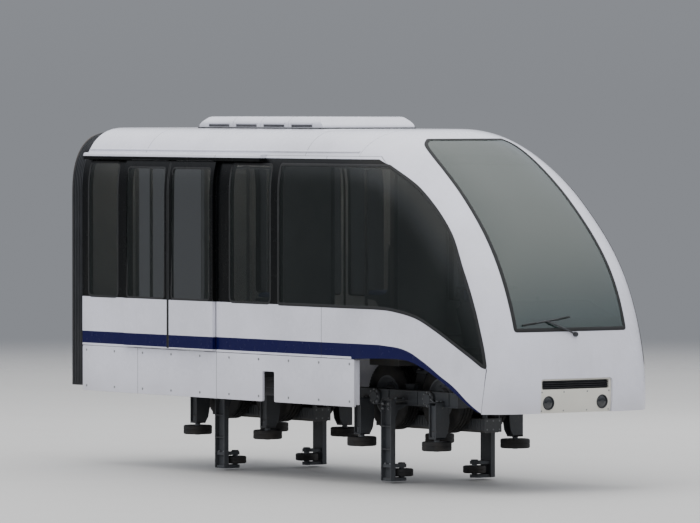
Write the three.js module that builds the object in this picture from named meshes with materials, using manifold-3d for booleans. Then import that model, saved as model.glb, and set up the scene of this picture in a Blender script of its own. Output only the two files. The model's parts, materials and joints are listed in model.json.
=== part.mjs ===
// The leading cab car of a straddle monorail, as an assembly of named solids, in millimetres.
// X runs forward, Y to the car's left and Z up. The origin is at the foot of the load wheels, on
// the car's centre plane, halfway between the two bogie pivots.
import * as THREE from "three";
import { mergeVertices } from "three/addons/utils/BufferGeometryUtils.js";
import Module from "manifold-3d";

const wasm = await Module();
wasm.setup();

// Whole car
const HALF_WIDTH = 1150;
const BODY_REAR = -3480;
const BODY_BOTTOM = 280;
const ROOF_TOP = 3160;
const ROOF_TURN = 2400; // where the upright side starts to curve in to the roof
const ROOF_FLAT_HALF = 550;
const ROOF_SQUARENESS = 2.6;
const WALL = 60;
const SKIRT_WALL = 30;
const GLASS = 10;
const SEAT_GAP = 0.3; // between two pieces that touch
const PANE_GAP = 0.4;

// Heights of the painted bands and panel joints
const SKIRT_TOP = 780;
const STRIPE_TOP = 935;
const BELT_TOP = 1315;
const WINDOW_TOP = 2790;
const CANT_RAIL_TOP = 2880;
const FLOOR_TOP = 950;
const FLOOR_THICKNESS = 70;

// Positions along the car
const DOOR_CENTRE = -1760;
const DOOR_OPENING = 1640;
const LEAF_WIDTH = 847;
const LEAF_MEETING_GAP = 6;
const QUARTER_WINDOW = [-3360, -2780];
const SALOON_WINDOW = [-660, 100];
const CAB_WINDOW_REAR = 240;
const BULKHEAD = [140, 200];
const ARCH_REAR = 1600;
const SKIRT_NOTCH = { rear: -50, front: 165, top: 600 };
const CANT_RAIL_FRONT = 1850;
const NOSE_JOINT = 1550; // the roof ends here and the nose moulding starts

// Running gear
const BOGIE_PIVOT = 1520;
const HALF_WHEELBASE = 470;
const TYRE_RADIUS = 360;
const GUIDE_FACE = 350; // half the distance between the guide wheels' running faces

// The body's plan outline at each height. tip: the foremost X. depth: how far back the rounded
// front reaches. square: the exponent of its superellipse, 2 being round.
const BODY_LEVELS = [
  { z: BODY_BOTTOM, tip: 3885, depth: 1000, square: 4.8 },
  { z: 420, tip: 3900, depth: 1000, square: 4.7 },
  { z: 750, tip: 3885, depth: 1000, square: 4.4 },
  { z: 940, tip: 3855, depth: 1000, square: 4.25 },
  { z: 1120, tip: 3813, depth: 1000, square: 4.15 },
  { z: 1310, tip: 3759, depth: 1030, square: 4.1 },
  { z: 1550, tip: 3660, depth: 1080, square: 4.0 },
  { z: 1800, tip: 3515, depth: 1130, square: 3.85 },
  { z: 2120, tip: 3275, depth: 1200, square: 3.65 },
  { z: 2400, tip: 2985, depth: 1310, square: 3.6 },
  { z: 2600, tip: 2735, depth: 1400, square: 3.5 },
  { z: 2770, tip: 2515, depth: 1440, square: 3.35 },
  { z: 2860, tip: 2390, depth: 1460, square: 3.25 },
  { z: 2970, tip: 2225, depth: 1500, square: 3.1 },
  { z: 3050, tip: 2070, depth: 1530, square: 2.95 },
  { z: 3120, tip: 1880, depth: 1560, square: 2.85 },
  { z: ROOF_TOP, tip: 1620, depth: 1600, square: 2.75 },
];
const NOSE_STEPS = 14;

// Side-view curves, as [x, z] points that a spline runs through
const PILLAR_EDGE = spline([
  [1952, 2822],
  [2514, 2555],
  [3021, 2137],
  [3319, 1720],
  [3509, 1360],
  [3643, 990],
  [3706, 722],
]);
const BELT_DROP = spline([
  [2260, BELT_TOP],
  [2664, 1242],
  [3002, 1124],
  [3317, 983],
  [3542, 858],
  [3690, 745],
]);
const ARCH_EDGE = spline([
  [ARCH_REAR, SKIRT_TOP],
  [2100, 800],
  [2495, 795],
  [2782, 728],
  [3083, 612],
  [3325, 492],
  [3526, 368],
  [3640, 300],
]);

// The windscreen opening in front view, as half width at each height
const SCREEN_EDGE = [
  { z: 1120, half: 660 },
  { z: 1165, half: 710 },
  { z: 1800, half: 702 },
  { z: 2160, half: 680 },
  { z: 2470, half: 662 },
  { z: 2720, half: 644 },
  { z: 2890, half: 620 },
  { z: 3000, half: 575 },
  { z: 3060, half: 480 },
];

const SIDES = [
  { name: "right", sign: -1 },
  { name: "left", sign: 1 },
];
const BOGIES = [
  { name: "front", x: BOGIE_PIVOT },
  { name: "rear", x: -BOGIE_PIVOT },
];

// Solids and their making

function spline(points) {
  return new THREE.SplineCurve(points.map(([x, z]) => new THREE.Vector2(x, z)))
    .getPoints(3 * (points.length - 1))
    .map((p) => [p.x, p.y]);
}

function solidOf(geometry) {
  const bare = geometry.index ? geometry.toNonIndexed() : geometry.clone();
  for (const name of ["normal", "uv"]) bare.deleteAttribute(name);
  const merged = mergeVertices(bare, 1e-3);
  return new wasm.Manifold(
    new wasm.Mesh({
      numProp: 3,
      vertProperties: new Float32Array(merged.attributes.position.array),
      triVerts: new Uint32Array(merged.index.array),
    }),
  );
}

function geometryOf(solid) {
  const mesh = solid.getMesh();
  const positions = new Float32Array(mesh.numVert * 3);
  for (let i = 0; i < mesh.numVert; i++) {
    const start = i * mesh.numProp;
    positions.set(mesh.vertProperties.subarray(start, start + 3), i * 3);
  }
  return new THREE.BufferGeometry()
    .setAttribute("position", new THREE.BufferAttribute(positions, 3))
    .setIndex(new THREE.BufferAttribute(mesh.triVerts, 1));
}

function union(solids) {
  return solids.reduce((sum, solid) => sum.add(solid));
}

function box([x0, x1], [y0, y1], [z0, z1]) {
  const geometry = new THREE.BoxGeometry(x1 - x0, y1 - y0, z1 - z0);
  return solidOf(
    geometry.translate((x0 + x1) / 2, (y0 + y1) / 2, (z0 + z1) / 2),
  );
}

// A box on one side of the car, between two distances from its centre plane
function sideBox(xs, [near, far], zs, sign) {
  return box(xs, sign < 0 ? [-far, -near] : [near, far], zs);
}

function extrusion(points, depth) {
  const shape = new THREE.Shape(points.map(([a, b]) => new THREE.Vector2(a, b)));
  return new THREE.ExtrudeGeometry(shape, {
    depth,
    bevelEnabled: false,
    curveSegments: 8,
  });
}

// An outline of [x, z] points made solid between y0 and y1
function prismAlongY(points, [y0, y1]) {
  const geometry = extrusion(points, y1 - y0).rotateX(Math.PI / 2);
  return solidOf(geometry.translate(0, y1, 0));
}

// An outline of [y, z] points made solid between x0 and x1
function prismAlongX(points, [x0, x1]) {
  const geometry = extrusion(points, x1 - x0)
    .rotateX(Math.PI / 2)
    .rotateZ(Math.PI / 2);
  return solidOf(geometry.translate(x0, 0, 0));
}

// A solid of revolution about an upright axis: profile points are [radius, height]
function turned(profile, segments) {
  const points = profile.map(([r, h]) => new THREE.Vector2(r, h));
  const geometry = new THREE.LatheGeometry(points, segments);
  return solidOf(geometry.rotateX(Math.PI / 2));
}

function disc(radius, height, segments = 16) {
  return turned(
    [
      [0, 0],
      [radius, 0],
      [radius, height],
      [0, height],
    ],
    segments,
  );
}

// A closed outline moved inwards by a gap
function shrunk(points, gap) {
  const n = points.length;
  const area = points.reduce((sum, [x, z], i) => {
    const [x2, z2] = points[(i + 1) % n];
    return sum + x * z2 - x2 * z;
  }, 0);
  const turn = Math.sign(area);
  const edgeNormal = (a, b) => {
    const length = Math.hypot(b[0] - a[0], b[1] - a[1]);
    return [(-turn * (b[1] - a[1])) / length, (turn * (b[0] - a[0])) / length];
  };
  return points.map((p, i) => {
    const before = edgeNormal(points[(i + n - 1) % n], p);
    const after = edgeNormal(p, points[(i + 1) % n]);
    const sum = [before[0] + after[0], before[1] + after[1]];
    const scale = gap / Math.max(0.5, (sum[0] ** 2 + sum[1] ** 2) / 2);
    return [p[0] + sum[0] * scale, p[1] + sum[1] * scale];
  });
}

function roundedRectangle([x0, x1], [z0, z1], radius, steps = 3) {
  const corners = [
    { x: x1 - radius, z: z0 + radius, start: -90 },
    { x: x1 - radius, z: z1 - radius, start: 0 },
    { x: x0 + radius, z: z1 - radius, start: 90 },
    { x: x0 + radius, z: z0 + radius, start: 180 },
  ];
  return corners.flatMap(({ x, z, start }) =>
    Array.from({ length: steps + 1 }, (_, i) => {
      const angle = THREE.MathUtils.degToRad(start + (90 * i) / steps);
      return [x + radius * Math.cos(angle), z + radius * Math.sin(angle)];
    }),
  );
}

// The body's outer surface, and the same surface moved inwards

function halfWidthAt(z) {
  if (z <= ROOF_TURN) return HALF_WIDTH;
  const rise = Math.min(1, (z - ROOF_TURN) / (ROOF_TOP - ROOF_TURN));
  const share = (1 - rise ** ROOF_SQUARENESS) ** (1 / ROOF_SQUARENESS);
  return ROOF_FLAT_HALF + (HALF_WIDTH - ROOF_FLAT_HALF) * share;
}

function ringAt({ z, tip, depth, square }) {
  const half = halfWidthAt(z);
  const ring = [[BODY_REAR, -half]];
  for (let i = 0; i <= NOSE_STEPS; i++) {
    const angle = (i / NOSE_STEPS - 0.5) * Math.PI;
    const across = Math.sign(angle) * Math.abs(Math.sin(angle)) ** (2 / square);
    const along = Math.max(0, Math.cos(angle)) ** (2 / square);
    ring.push([tip - depth + depth * along, half * across]);
  }
  ring.push([BODY_REAR, half]);
  return ring.map(([x, y]) => new THREE.Vector3(x, y, z));
}

const OUTER_RINGS = BODY_LEVELS.map(ringAt);

// Moves each point of the body's surface inwards along the surface's own normal
function insetRings(inset) {
  const last = OUTER_RINGS.length - 1;
  return OUTER_RINGS.map((ring, row) =>
    ring.map((point, i) => {
      const ahead = ring[Math.min(i + 1, ring.length - 1)];
      const behind = ring[Math.max(i - 1, 0)];
      const above = OUTER_RINGS[Math.min(row + 1, last)][i];
      const below = OUTER_RINGS[Math.max(row - 1, 0)][i];
      const normal = ahead
        .clone()
        .sub(behind)
        .cross(above.clone().sub(below))
        .normalize();
      if (i === 0 || i === ring.length - 1) normal.x = 0;
      return point.clone().addScaledVector(normal.normalize(), -inset);
    }),
  );
}

// A closed solid inside a stack of rings, all with the same number of points
function stack(rings) {
  const count = rings[0].length;
  const positions = [];
  const index = [];
  for (const ring of rings) for (const p of ring) positions.push(p.x, p.y, p.z);
  for (let row = 0; row + 1 < rings.length; row++)
    for (let i = 0; i < count; i++) {
      const a = row * count + i;
      const b = row * count + ((i + 1) % count);
      index.push(a, b, b + count, a, b + count, a + count);
    }
  const top = (rings.length - 1) * count;
  for (let i = 1; i + 1 < count; i++) {
    index.push(0, i + 1, i);
    index.push(top, top + i, top + i + 1);
  }
  const geometry = new THREE.BufferGeometry();
  geometry.setAttribute(
    "position",
    new THREE.Float32BufferAttribute(positions, 3),
  );
  return solidOf(geometry.setIndex(index));
}

// The body moved inwards by inset; an inset one also runs on past the rear end and the bottom
function bodySolid(inset) {
  const rings = insetRings(inset);
  const overrun = 100;
  if (inset > 0) {
    for (const ring of rings) {
      ring[0].x -= overrun;
      ring[ring.length - 1].x -= overrun;
    }
    rings.unshift(
      rings[0].map((p) => new THREE.Vector3(p.x, p.y, p.z - overrun)),
    );
  }
  return stack(rings);
}

const outerBody = bodySolid(0);
const wallShell = outerBody.subtract(bodySolid(WALL));
const glassShell = outerBody.subtract(bodySolid(GLASS));
const roomSolid = bodySolid(WALL + SEAT_GAP);
const clearOfBody = bodySolid(-SEAT_GAP);

// Outlines of the panels and openings, in side view

const NOSE_FOOT = [
  [3695, 520],
  [3672, 292],
];
const SIDE_PANEL = [
  [BODY_REAR - 10, SKIRT_TOP],
  ...ARCH_EDGE,
  ...NOSE_FOOT.slice().reverse(),
  ...PILLAR_EDGE.slice().reverse(),
  [CANT_RAIL_FRONT, CANT_RAIL_TOP],
  [BODY_REAR - 10, CANT_RAIL_TOP],
];
const NOSE_PANEL = [
  [NOSE_JOINT, ROOF_TOP + 100],
  [NOSE_JOINT, CANT_RAIL_TOP + PANE_GAP],
  [CANT_RAIL_FRONT + PANE_GAP, CANT_RAIL_TOP + PANE_GAP],
  ...PILLAR_EDGE.map(([x, z]) => [x + PANE_GAP, z]),
  ...NOSE_FOOT.map(([x, z]) => [x + PANE_GAP, z]),
  [3660, BODY_BOTTOM - 50],
  [4000, BODY_BOTTOM - 50],
  [4000, ROOF_TOP + 100],
];
// The cab window runs forward to the nose's pillar; its cut in the side runs on a little past it
function cabWindow(past) {
  return [
    [CAB_WINDOW_REAR, BELT_TOP],
    ...BELT_DROP.slice(0, -1),
    ...(past > 0 ? [[3690 + past, 738]] : []),
    ...PILLAR_EDGE.slice(1, -1)
      .reverse()
      .map(([x, z]) => [x + past, z]),
    [2010 + past, WINDOW_TOP],
    [CAB_WINDOW_REAR, WINDOW_TOP],
  ];
}
const WINDOWS = {
  quarter_window: roundedRectangle(QUARTER_WINDOW, [BELT_TOP, WINDOW_TOP], 60),
  saloon_window: roundedRectangle(SALOON_WINDOW, [BELT_TOP, WINDOW_TOP], 60),
  cab_window: cabWindow(0),
};
const DOORWAY = [
  [DOOR_CENTRE - DOOR_OPENING / 2, FLOOR_TOP],
  [DOOR_CENTRE + DOOR_OPENING / 2, FLOOR_TOP],
  [DOOR_CENTRE + DOOR_OPENING / 2, WINDOW_TOP],
  [DOOR_CENTRE - DOOR_OPENING / 2, WINDOW_TOP],
];
const SIDE_REACH = [300, 1300];

function onSide(points, sign) {
  const [near, far] = SIDE_REACH;
  return prismAlongY(points, sign < 0 ? [-far, -near] : [near, far]);
}

// Body panels and glass

function sideWall(sign) {
  const outlines = [...Object.values(WINDOWS), cabWindow(60), DOORWAY];
  const cuts = outlines.map((outline) => onSide(outline, sign));
  return cuts.reduce(
    (wall, cut) => wall.subtract(cut),
    wallShell.intersect(onSide(SIDE_PANEL, sign)),
  );
}

function pane(outline, sign) {
  return glassShell.intersect(onSide(shrunk(outline, PANE_GAP), sign));
}

function skirt(sign) {
  const { rear, front, top } = SKIRT_NOTCH;
  const shell = outerBody.subtract(bodySolid(SKIRT_WALL));
  const panel = sideBox(
    [BODY_REAR - 10, ARCH_REAR],
    SIDE_REACH,
    [BODY_BOTTOM, SKIRT_TOP - SEAT_GAP],
    sign,
  );
  const notch = sideBox([rear, front], SIDE_REACH, [BODY_BOTTOM - 10, top], sign);
  return shell.intersect(panel).subtract(notch);
}

function roofShell() {
  return wallShell.intersect(
    box(
      [BODY_REAR - 10, NOSE_JOINT - PANE_GAP],
      [-1300, 1300],
      [CANT_RAIL_TOP + PANE_GAP, ROOF_TOP + 100],
    ),
  );
}

const SCREEN_REACH = [1200, 4000];

function screenOutline() {
  const right = SCREEN_EDGE.map(({ z, half }) => [-half, z]);
  const left = SCREEN_EDGE.map(({ z, half }) => [half, z]).reverse();
  return [...right, ...left];
}

// The lower front holds a fascia in a cut-out, with an air slot and two round lamps in it
const FASCIA_HALF = 460;
const FASCIA_TOP = 630;
const FASCIA_INSET = 25;
const FASCIA_THICKNESS = 30;
const FASCIA_REACH = [3600, 4000];
const LAMP_RADIUS = 72;
const LAMP_OFFSET = 345;
const LAMP_HEIGHT = 385;
const SLOT_HALF = 430;
const SLOT_HEIGHTS = [522, 612];

function noseShell() {
  const fasciaCut = box(
    FASCIA_REACH,
    [-FASCIA_HALF, FASCIA_HALF],
    [BODY_BOTTOM - 50, FASCIA_TOP],
  );
  return wallShell
    .intersect(prismAlongY(NOSE_PANEL, [-1300, 1300]))
    .subtract(prismAlongX(screenOutline(), SCREEN_REACH))
    .subtract(fasciaCut);
}

function windscreen() {
  const outline = shrunk(screenOutline(), PANE_GAP);
  return glassShell.intersect(prismAlongX(outline, SCREEN_REACH));
}

function lampBlank(radius, sign) {
  const [from, to] = FASCIA_REACH;
  const blank = disc(radius, to - from, 20).rotate([0, 90, 0]);
  return blank.translate([from, sign * LAMP_OFFSET, LAMP_HEIGHT]);
}

function frontFascia() {
  const half = FASCIA_HALF - SEAT_GAP;
  const blank = box(
    FASCIA_REACH,
    [-half, half],
    [BODY_BOTTOM, FASCIA_TOP - SEAT_GAP],
  );
  const skin = bodySolid(FASCIA_INSET).subtract(
    bodySolid(FASCIA_INSET + FASCIA_THICKNESS),
  );
  const slot = box(FASCIA_REACH, [-SLOT_HALF, SLOT_HALF], SLOT_HEIGHTS);
  return SIDES.reduce(
    (fascia, { sign }) => fascia.subtract(lampBlank(LAMP_RADIUS, sign)),
    skin.intersect(blank).subtract(slot),
  );
}

function headlamp(sign) {
  const depth = 60;
  const skin = bodySolid(FASCIA_INSET - 8).subtract(
    bodySolid(FASCIA_INSET + depth),
  );
  return skin.intersect(lampBlank(LAMP_RADIUS - SEAT_GAP, sign));
}

// A low casing on the roof, for the ventilation plant
const POD = { rear: -2020, front: 290, half: 600, top: 3290, slope: 130 };

function roofPod() {
  const sideView = [
    [POD.rear, ROOF_TOP - 100],
    [POD.front, ROOF_TOP - 100],
    [POD.front, ROOF_TOP + 30],
    [POD.front - POD.slope, POD.top],
    [POD.rear + POD.slope, POD.top],
    [POD.rear, ROOF_TOP + 30],
  ];
  const endView = [
    [-POD.half, ROOF_TOP - 100],
    [POD.half, ROOF_TOP - 100],
    [POD.half, POD.top - 60],
    [POD.half - 60, POD.top],
    [-POD.half + 60, POD.top],
    [-POD.half, POD.top - 60],
  ];
  return prismAlongY(sideView, [-POD.half, POD.half])
    .intersect(prismAlongX(endView, [POD.rear, POD.front]))
    .subtract(clearOfBody);
}

// Rear end: a wall with the gangway's doorway, the bellows, and the frame at the bellows' end

const GANGWAY_HALF = 450;
const GANGWAY_TOP = 2900;
const REAR_WALL = [BODY_REAR, BODY_REAR + 50];
const BELLOWS = { rear: -3735, inset: 45, bottom: 330, wall: 95, floor: 790 };
const END_FRAME_REAR = -3760;
const END_FRAME_WALL = 60;

function rearWall() {
  const doorway = box(
    [BODY_REAR - 200, BODY_REAR + 200],
    [-GANGWAY_HALF, GANGWAY_HALF],
    [FLOOR_TOP + 40, GANGWAY_TOP],
  );
  return roomSolid
    .intersect(box(REAR_WALL, [-1300, 1300], [FLOOR_TOP + SEAT_GAP, ROOF_TOP]))
    .subtract(doorway);
}

// Half of the gangway's end view, from the bottom up, as [y, z]
function gangwayOutline(inset, bottom) {
  const heights = BODY_LEVELS.map(({ z }) => z).filter((z) => z >= ROOF_TURN);
  const half = [
    [HALF_WIDTH - inset, bottom],
    ...heights.map((z) => [halfWidthAt(z) - inset, z - inset]),
  ];
  return [...half, ...half.map(([y, z]) => [-y, z]).reverse()];
}

// A ring round the gangway; its sides hang on down, past its floor, as curtains
function gangwayRing([rear, front], wall) {
  const { inset, bottom, floor } = BELLOWS;
  const inner = gangwayOutline(inset + wall, floor + wall);
  const innerHalf = HALF_WIDTH - inset - wall;
  const notch = box(
    [rear - 10, front + 10],
    [-innerHalf, innerHalf],
    [bottom - 10, floor],
  );
  return prismAlongX(gangwayOutline(inset, bottom), [rear, front])
    .subtract(prismAlongX(inner, [rear - 10, front + 10]))
    .subtract(notch);
}

// Floor and underframe, in one welded piece

const SILL = { near: 700, far: 820, bottom: 770, rear: -3420, front: 3200 };
const PIVOT_HEIGHT = 700;
const CROSS_BEAMS = [-3350, -2750, 0, 2950];
const JACKING_PAD = { stations: [-2900, 2700], half: 70, near: 705, far: 815, bottom: 752 };

function underframe() {
  const slab = roomSolid.intersect(
    box(
      [REAR_WALL[0] + SEAT_GAP, 4000],
      [-1300, 1300],
      [FLOOR_TOP - FLOOR_THICKNESS, FLOOR_TOP],
    ),
  );
  const underFloor = FLOOR_TOP - FLOOR_THICKNESS;
  const sills = SIDES.map(({ sign }) =>
    sideBox(
      [SILL.rear, SILL.front],
      [SILL.near, SILL.far],
      [SILL.bottom, underFloor + 5],
      sign,
    ),
  );
  const crossBeams = CROSS_BEAMS.map((x) =>
    box([x - 50, x + 50], [-SILL.near, SILL.near], [SILL.bottom, underFloor + 5]),
  );
  const pivots = BOGIES.map(({ x }) =>
    box([x - 260, x + 260], [-SILL.near, SILL.near], [PIVOT_HEIGHT, underFloor + 5]),
  );
  const { stations, half, near, far, bottom } = JACKING_PAD;
  const pads = SIDES.flatMap(({ sign }) =>
    stations.map((x) =>
      sideBox([x - half, x + half], [near, far], [bottom, SILL.bottom + 5], sign),
    ),
  );
  return union([slab, ...sills, ...crossBeams, ...pivots, ...pads]);
}

// The cab and the saloon

function cabBulkhead() {
  const doorway = box([0, 400], [-400, 400], [FLOOR_TOP + 30, 2800]);
  return roomSolid
    .intersect(box(BULKHEAD, [-1300, 1300], [FLOOR_TOP + SEAT_GAP, ROOF_TOP]))
    .subtract(doorway);
}

function driverDesk() {
  const sideView = [
    [3620, FLOOR_TOP + SEAT_GAP],
    [3020, FLOOR_TOP + SEAT_GAP],
    [2980, 1120],
    [2900, 1330],
    [3050, 1400],
    [3200, 1330],
    [3560, 1230],
    [3620, 1100],
  ];
  return bodySolid(WALL + 20).intersect(prismAlongY(sideView, [-800, 800]));
}

function driverSeat() {
  const x = 2450;
  const base = disc(70, 280, 12).translate([x, 0, FLOOR_TOP + SEAT_GAP]);
  const cushion = box([x - 250, x + 250], [-240, 240], [1220, 1340]);
  const back = prismAlongY(
    [
      [x - 250, 1280],
      [x - 150, 1280],
      [x - 260, 2080],
      [x - 350, 2080],
    ],
    [-230, 230],
  );
  return union([base, cushion, back]);
}

// Two seats side by side with their backs to the cab bulkhead
function bench(sign) {
  const back = BULKHEAD[0] - SEAT_GAP;
  const sideView = [
    [back, FLOOR_TOP + 200],
    [back, 1900],
    [back - 70, 1900],
    [back - 110, 1420],
    [back - 480, 1390],
    [back - 490, 1340],
    [back - 300, 1320],
    [back - 120, FLOOR_TOP + 200],
  ];
  return prismAlongY(sideView, sign < 0 ? [-1040, -400] : [400, 1040]);
}

// Bi-parting doors that hang outside the body from a rail above the doorway

const LEAF = { standoff: 8, thickness: 38, bottom: 792, top: 2812, rib: 60 };
const HANGER_TOP = 2838;
const LEAF_GLASS = { bottom: BELT_TOP + 5, top: 2740 };
const RAIL = { rear: -3440, front: -80, bottom: 2816, top: 2890, out: 66 };
const RAIL_FACE = halfWidthAt(LEAF.top);
const RAIL_MIDDLE = RAIL_FACE + LEAF.standoff + LEAF.thickness / 2;
const LEAVES = [
  { name: "rear", centre: DOOR_CENTRE - (LEAF_WIDTH + LEAF_MEETING_GAP) / 2 },
  { name: "front", centre: DOOR_CENTRE + (LEAF_WIDTH + LEAF_MEETING_GAP) / 2 },
];

// The leaf's end view between two distances out from the body's side, as [y, z]
function leafSection([near, far], [bottom, top], sign) {
  const middle = [ROOF_TURN, 2600, 2770].filter((z) => z > bottom && z < top);
  const heights = [bottom, ...middle, top];
  const inner = heights.map((z) => [sign * (halfWidthAt(z) + near), z]);
  const outer = heights.map((z) => [sign * (halfWidthAt(z) + far), z]);
  return [...inner, ...outer.reverse()];
}

function leafSpan(centre) {
  return [centre - LEAF_WIDTH / 2, centre + LEAF_WIDTH / 2];
}

function leafWindow(centre, gap) {
  const [rear, front] = leafSpan(centre);
  return shrunk(
    roundedRectangle(
      [rear + LEAF.rib, front - LEAF.rib],
      [LEAF_GLASS.bottom, LEAF_GLASS.top],
      45,
    ),
    gap,
  );
}

function doorLeaf(centre, sign) {
  const outer = LEAF.standoff + LEAF.thickness;
  const panel = prismAlongX(
    leafSection([LEAF.standoff, outer], [LEAF.bottom, LEAF.top], sign),
    leafSpan(centre),
  );
  const [rear, front] = leafSpan(centre);
  const hanger = sideBox(
    [rear + 80, front - 80],
    [RAIL_MIDDLE - 8, RAIL_MIDDLE + 8],
    [LEAF.top - 20, HANGER_TOP],
    sign,
  );
  return panel.subtract(onSide(leafWindow(centre, 0), sign)).add(hanger);
}

function doorGlass(centre, sign) {
  const outer = LEAF.standoff + LEAF.thickness - 4;
  return prismAlongX(
    leafSection([outer - 8, outer], [LEAF.bottom, LEAF.top], sign),
    leafSpan(centre),
  ).intersect(onSide(leafWindow(centre, PANE_GAP), sign));
}

function doorRail(sign) {
  const blank = sideBox(
    [RAIL.rear, RAIL.front],
    [RAIL_FACE - 80, RAIL_FACE + RAIL.out],
    [RAIL.bottom, RAIL.top],
    sign,
  );
  const channel = sideBox(
    [RAIL.rear - 10, RAIL.front + 10],
    [RAIL_MIDDLE - 14, RAIL_MIDDLE + 14],
    [RAIL.bottom - 10, HANGER_TOP + 0.8],
    sign,
  );
  return blank.subtract(channel).subtract(clearOfBody);
}

// Bogies, with paired tyres on two axles, and guide and stabiliser wheels on upright spindles

const BOGIE_HALF_LENGTH = 960;
const SIDE_BEAM = { near: 360, far: 460, bottom: 280, top: 440 };
const TRANSOM = { half: 88, bottom: 300, top: 620 };
const GUIDE = { radius: 160, x: 660, bottom: -170, top: -70 };
const STABILISER = { radius: 125, bottom: -460, top: -380 };
const SPINDLE_RADIUS = 30;
const ARM_REACH = 680;

function bogieFrame() {
  const parts = [
    box(
      [-TRANSOM.half, TRANSOM.half],
      [-SIDE_BEAM.far, SIDE_BEAM.far],
      [TRANSOM.bottom, TRANSOM.top - 120],
    ),
    box([-TRANSOM.half, TRANSOM.half], [-250, 250], [TRANSOM.bottom, TRANSOM.top]),
    disc(230, PIVOT_HEIGHT - SEAT_GAP - TRANSOM.top + 15, 24).translate([
      0,
      0,
      TRANSOM.top - 15,
    ]),
  ];
  for (const end of [-1, 1]) {
    const near = end * (BOGIE_HALF_LENGTH - 85);
    const far = end * BOGIE_HALF_LENGTH;
    parts.push(
      box(
        [Math.min(near, far), Math.max(near, far)],
        [-SIDE_BEAM.far, SIDE_BEAM.far],
        [SIDE_BEAM.bottom, SIDE_BEAM.bottom + 100],
      ),
    );
  }
  for (const { sign } of SIDES) {
    parts.push(
      sideBox(
        [-BOGIE_HALF_LENGTH, BOGIE_HALF_LENGTH],
        [SIDE_BEAM.near, SIDE_BEAM.far],
        [SIDE_BEAM.bottom, SIDE_BEAM.top],
        sign,
      ),
    );
    for (const x of [-GUIDE.x, GUIDE.x])
      parts.push(
        sideBox(
          [x - 60, x + 60],
          [SIDE_BEAM.near + 30, 570],
          [GUIDE.top + 20, SIDE_BEAM.bottom + 60],
          sign,
        ),
      );
    parts.push(
      sideBox([-90, 90], [SIDE_BEAM.far - 10, ARM_REACH], [280, 350], sign),
      sideBox([-90, 90], [ARM_REACH - 60, ARM_REACH], [-510, 350], sign),
      sideBox([-70, 70], [430, ARM_REACH], [-510, STABILISER.bottom - 12], sign),
      sideBox([-70, 70], [430, ARM_REACH], [STABILISER.top + 12, -330], sign),
    );
  }
  return union(parts);
}

// A linear motor hung low between the tyres
function linearMotor() {
  const parts = [
    box([-BOGIE_HALF_LENGTH, BOGIE_HALF_LENGTH], [-110, 110], [15, 165]),
  ];
  for (const end of [-1, 1]) {
    const near = end * (BOGIE_HALF_LENGTH - 80);
    const far = end * BOGIE_HALF_LENGTH;
    parts.push(
      box(
        [Math.min(near, far), Math.max(near, far)],
        [-90, 90],
        [160, SIDE_BEAM.bottom - SEAT_GAP],
      ),
    );
  }
  return union(parts);
}

// An axle with its two tyred wheels, about an upright axis until it is placed
const TYRE = { near: 130, far: 320, shoulder: 28 };
const AXLE_RADIUS = 45;

function wheelset() {
  const half = SIDE_BEAM.near - SEAT_GAP;
  const hub = 110;
  const rim = 205;
  const wheel = [
    [AXLE_RADIUS, TYRE.near + 10],
    [TYRE_RADIUS - TYRE.shoulder, TYRE.near],
    [TYRE_RADIUS, TYRE.near + TYRE.shoulder],
    [TYRE_RADIUS, TYRE.far - TYRE.shoulder],
    [TYRE_RADIUS - TYRE.shoulder, TYRE.far],
    [rim, TYRE.far - 10],
    [hub, TYRE.far - 45],
    [hub - 20, TYRE.far],
    [AXLE_RADIUS, TYRE.far],
  ];
  const lower = wheel.map(([r, h]) => [r, -h]).reverse();
  return turned(
    [[0, -half], [AXLE_RADIUS, -half], ...lower, ...wheel, [AXLE_RADIUS, half], [0, half]],
    18,
  );
}

function guideWheel({ radius, bottom, top }, upper, lower) {
  const shoulder = 12;
  const profile = [
    [0, bottom - lower],
    [SPINDLE_RADIUS, bottom - lower],
    [SPINDLE_RADIUS, bottom + shoulder],
    [radius - shoulder, bottom],
    [radius, bottom + shoulder],
    [radius, top - shoulder],
    [radius - shoulder, top],
    [SPINDLE_RADIUS, top - shoulder],
    [SPINDLE_RADIUS, top + upper],
    [0, top + upper],
  ];
  return turned(profile, 14);
}

// Coupling bar at the rear, with a flange at its end
function rearDrawbar() {
  const rear = END_FRAME_REAR - 60;
  const root = -3300 - SEAT_GAP;
  return union([
    box([rear, -3290], [-70, 70], [600, 700]),
    box([rear - 25, rear], [-130, 130], [560, 740]),
    box([-3400 + SEAT_GAP, root], [-110, 110], [690, SILL.bottom - SEAT_GAP]),
  ]);
}

// Recovery coupler behind the fascia, on a bracket under the floor
function frontCoupler() {
  const underFloor = FLOOR_TOP - FLOOR_THICKNESS - SEAT_GAP;
  return union([
    box([3060, 3640], [-50, 50], [470, 570]),
    box([3600, 3700], [-110, 110], [430, 610]),
    box([3030, 3180], [-130, 130], [450, underFloor]),
  ]);
}

// Cases with the electrical gear, hung from the sills between the bogies
const CASE = { half: 480, near: 705, far: 930, bottom: 330 };

function equipmentCase(sign) {
  const { half, near, far, bottom } = CASE;
  return sideBox([-half, half], [near, far], [bottom, SILL.bottom - SEAT_GAP], sign);
}

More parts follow.
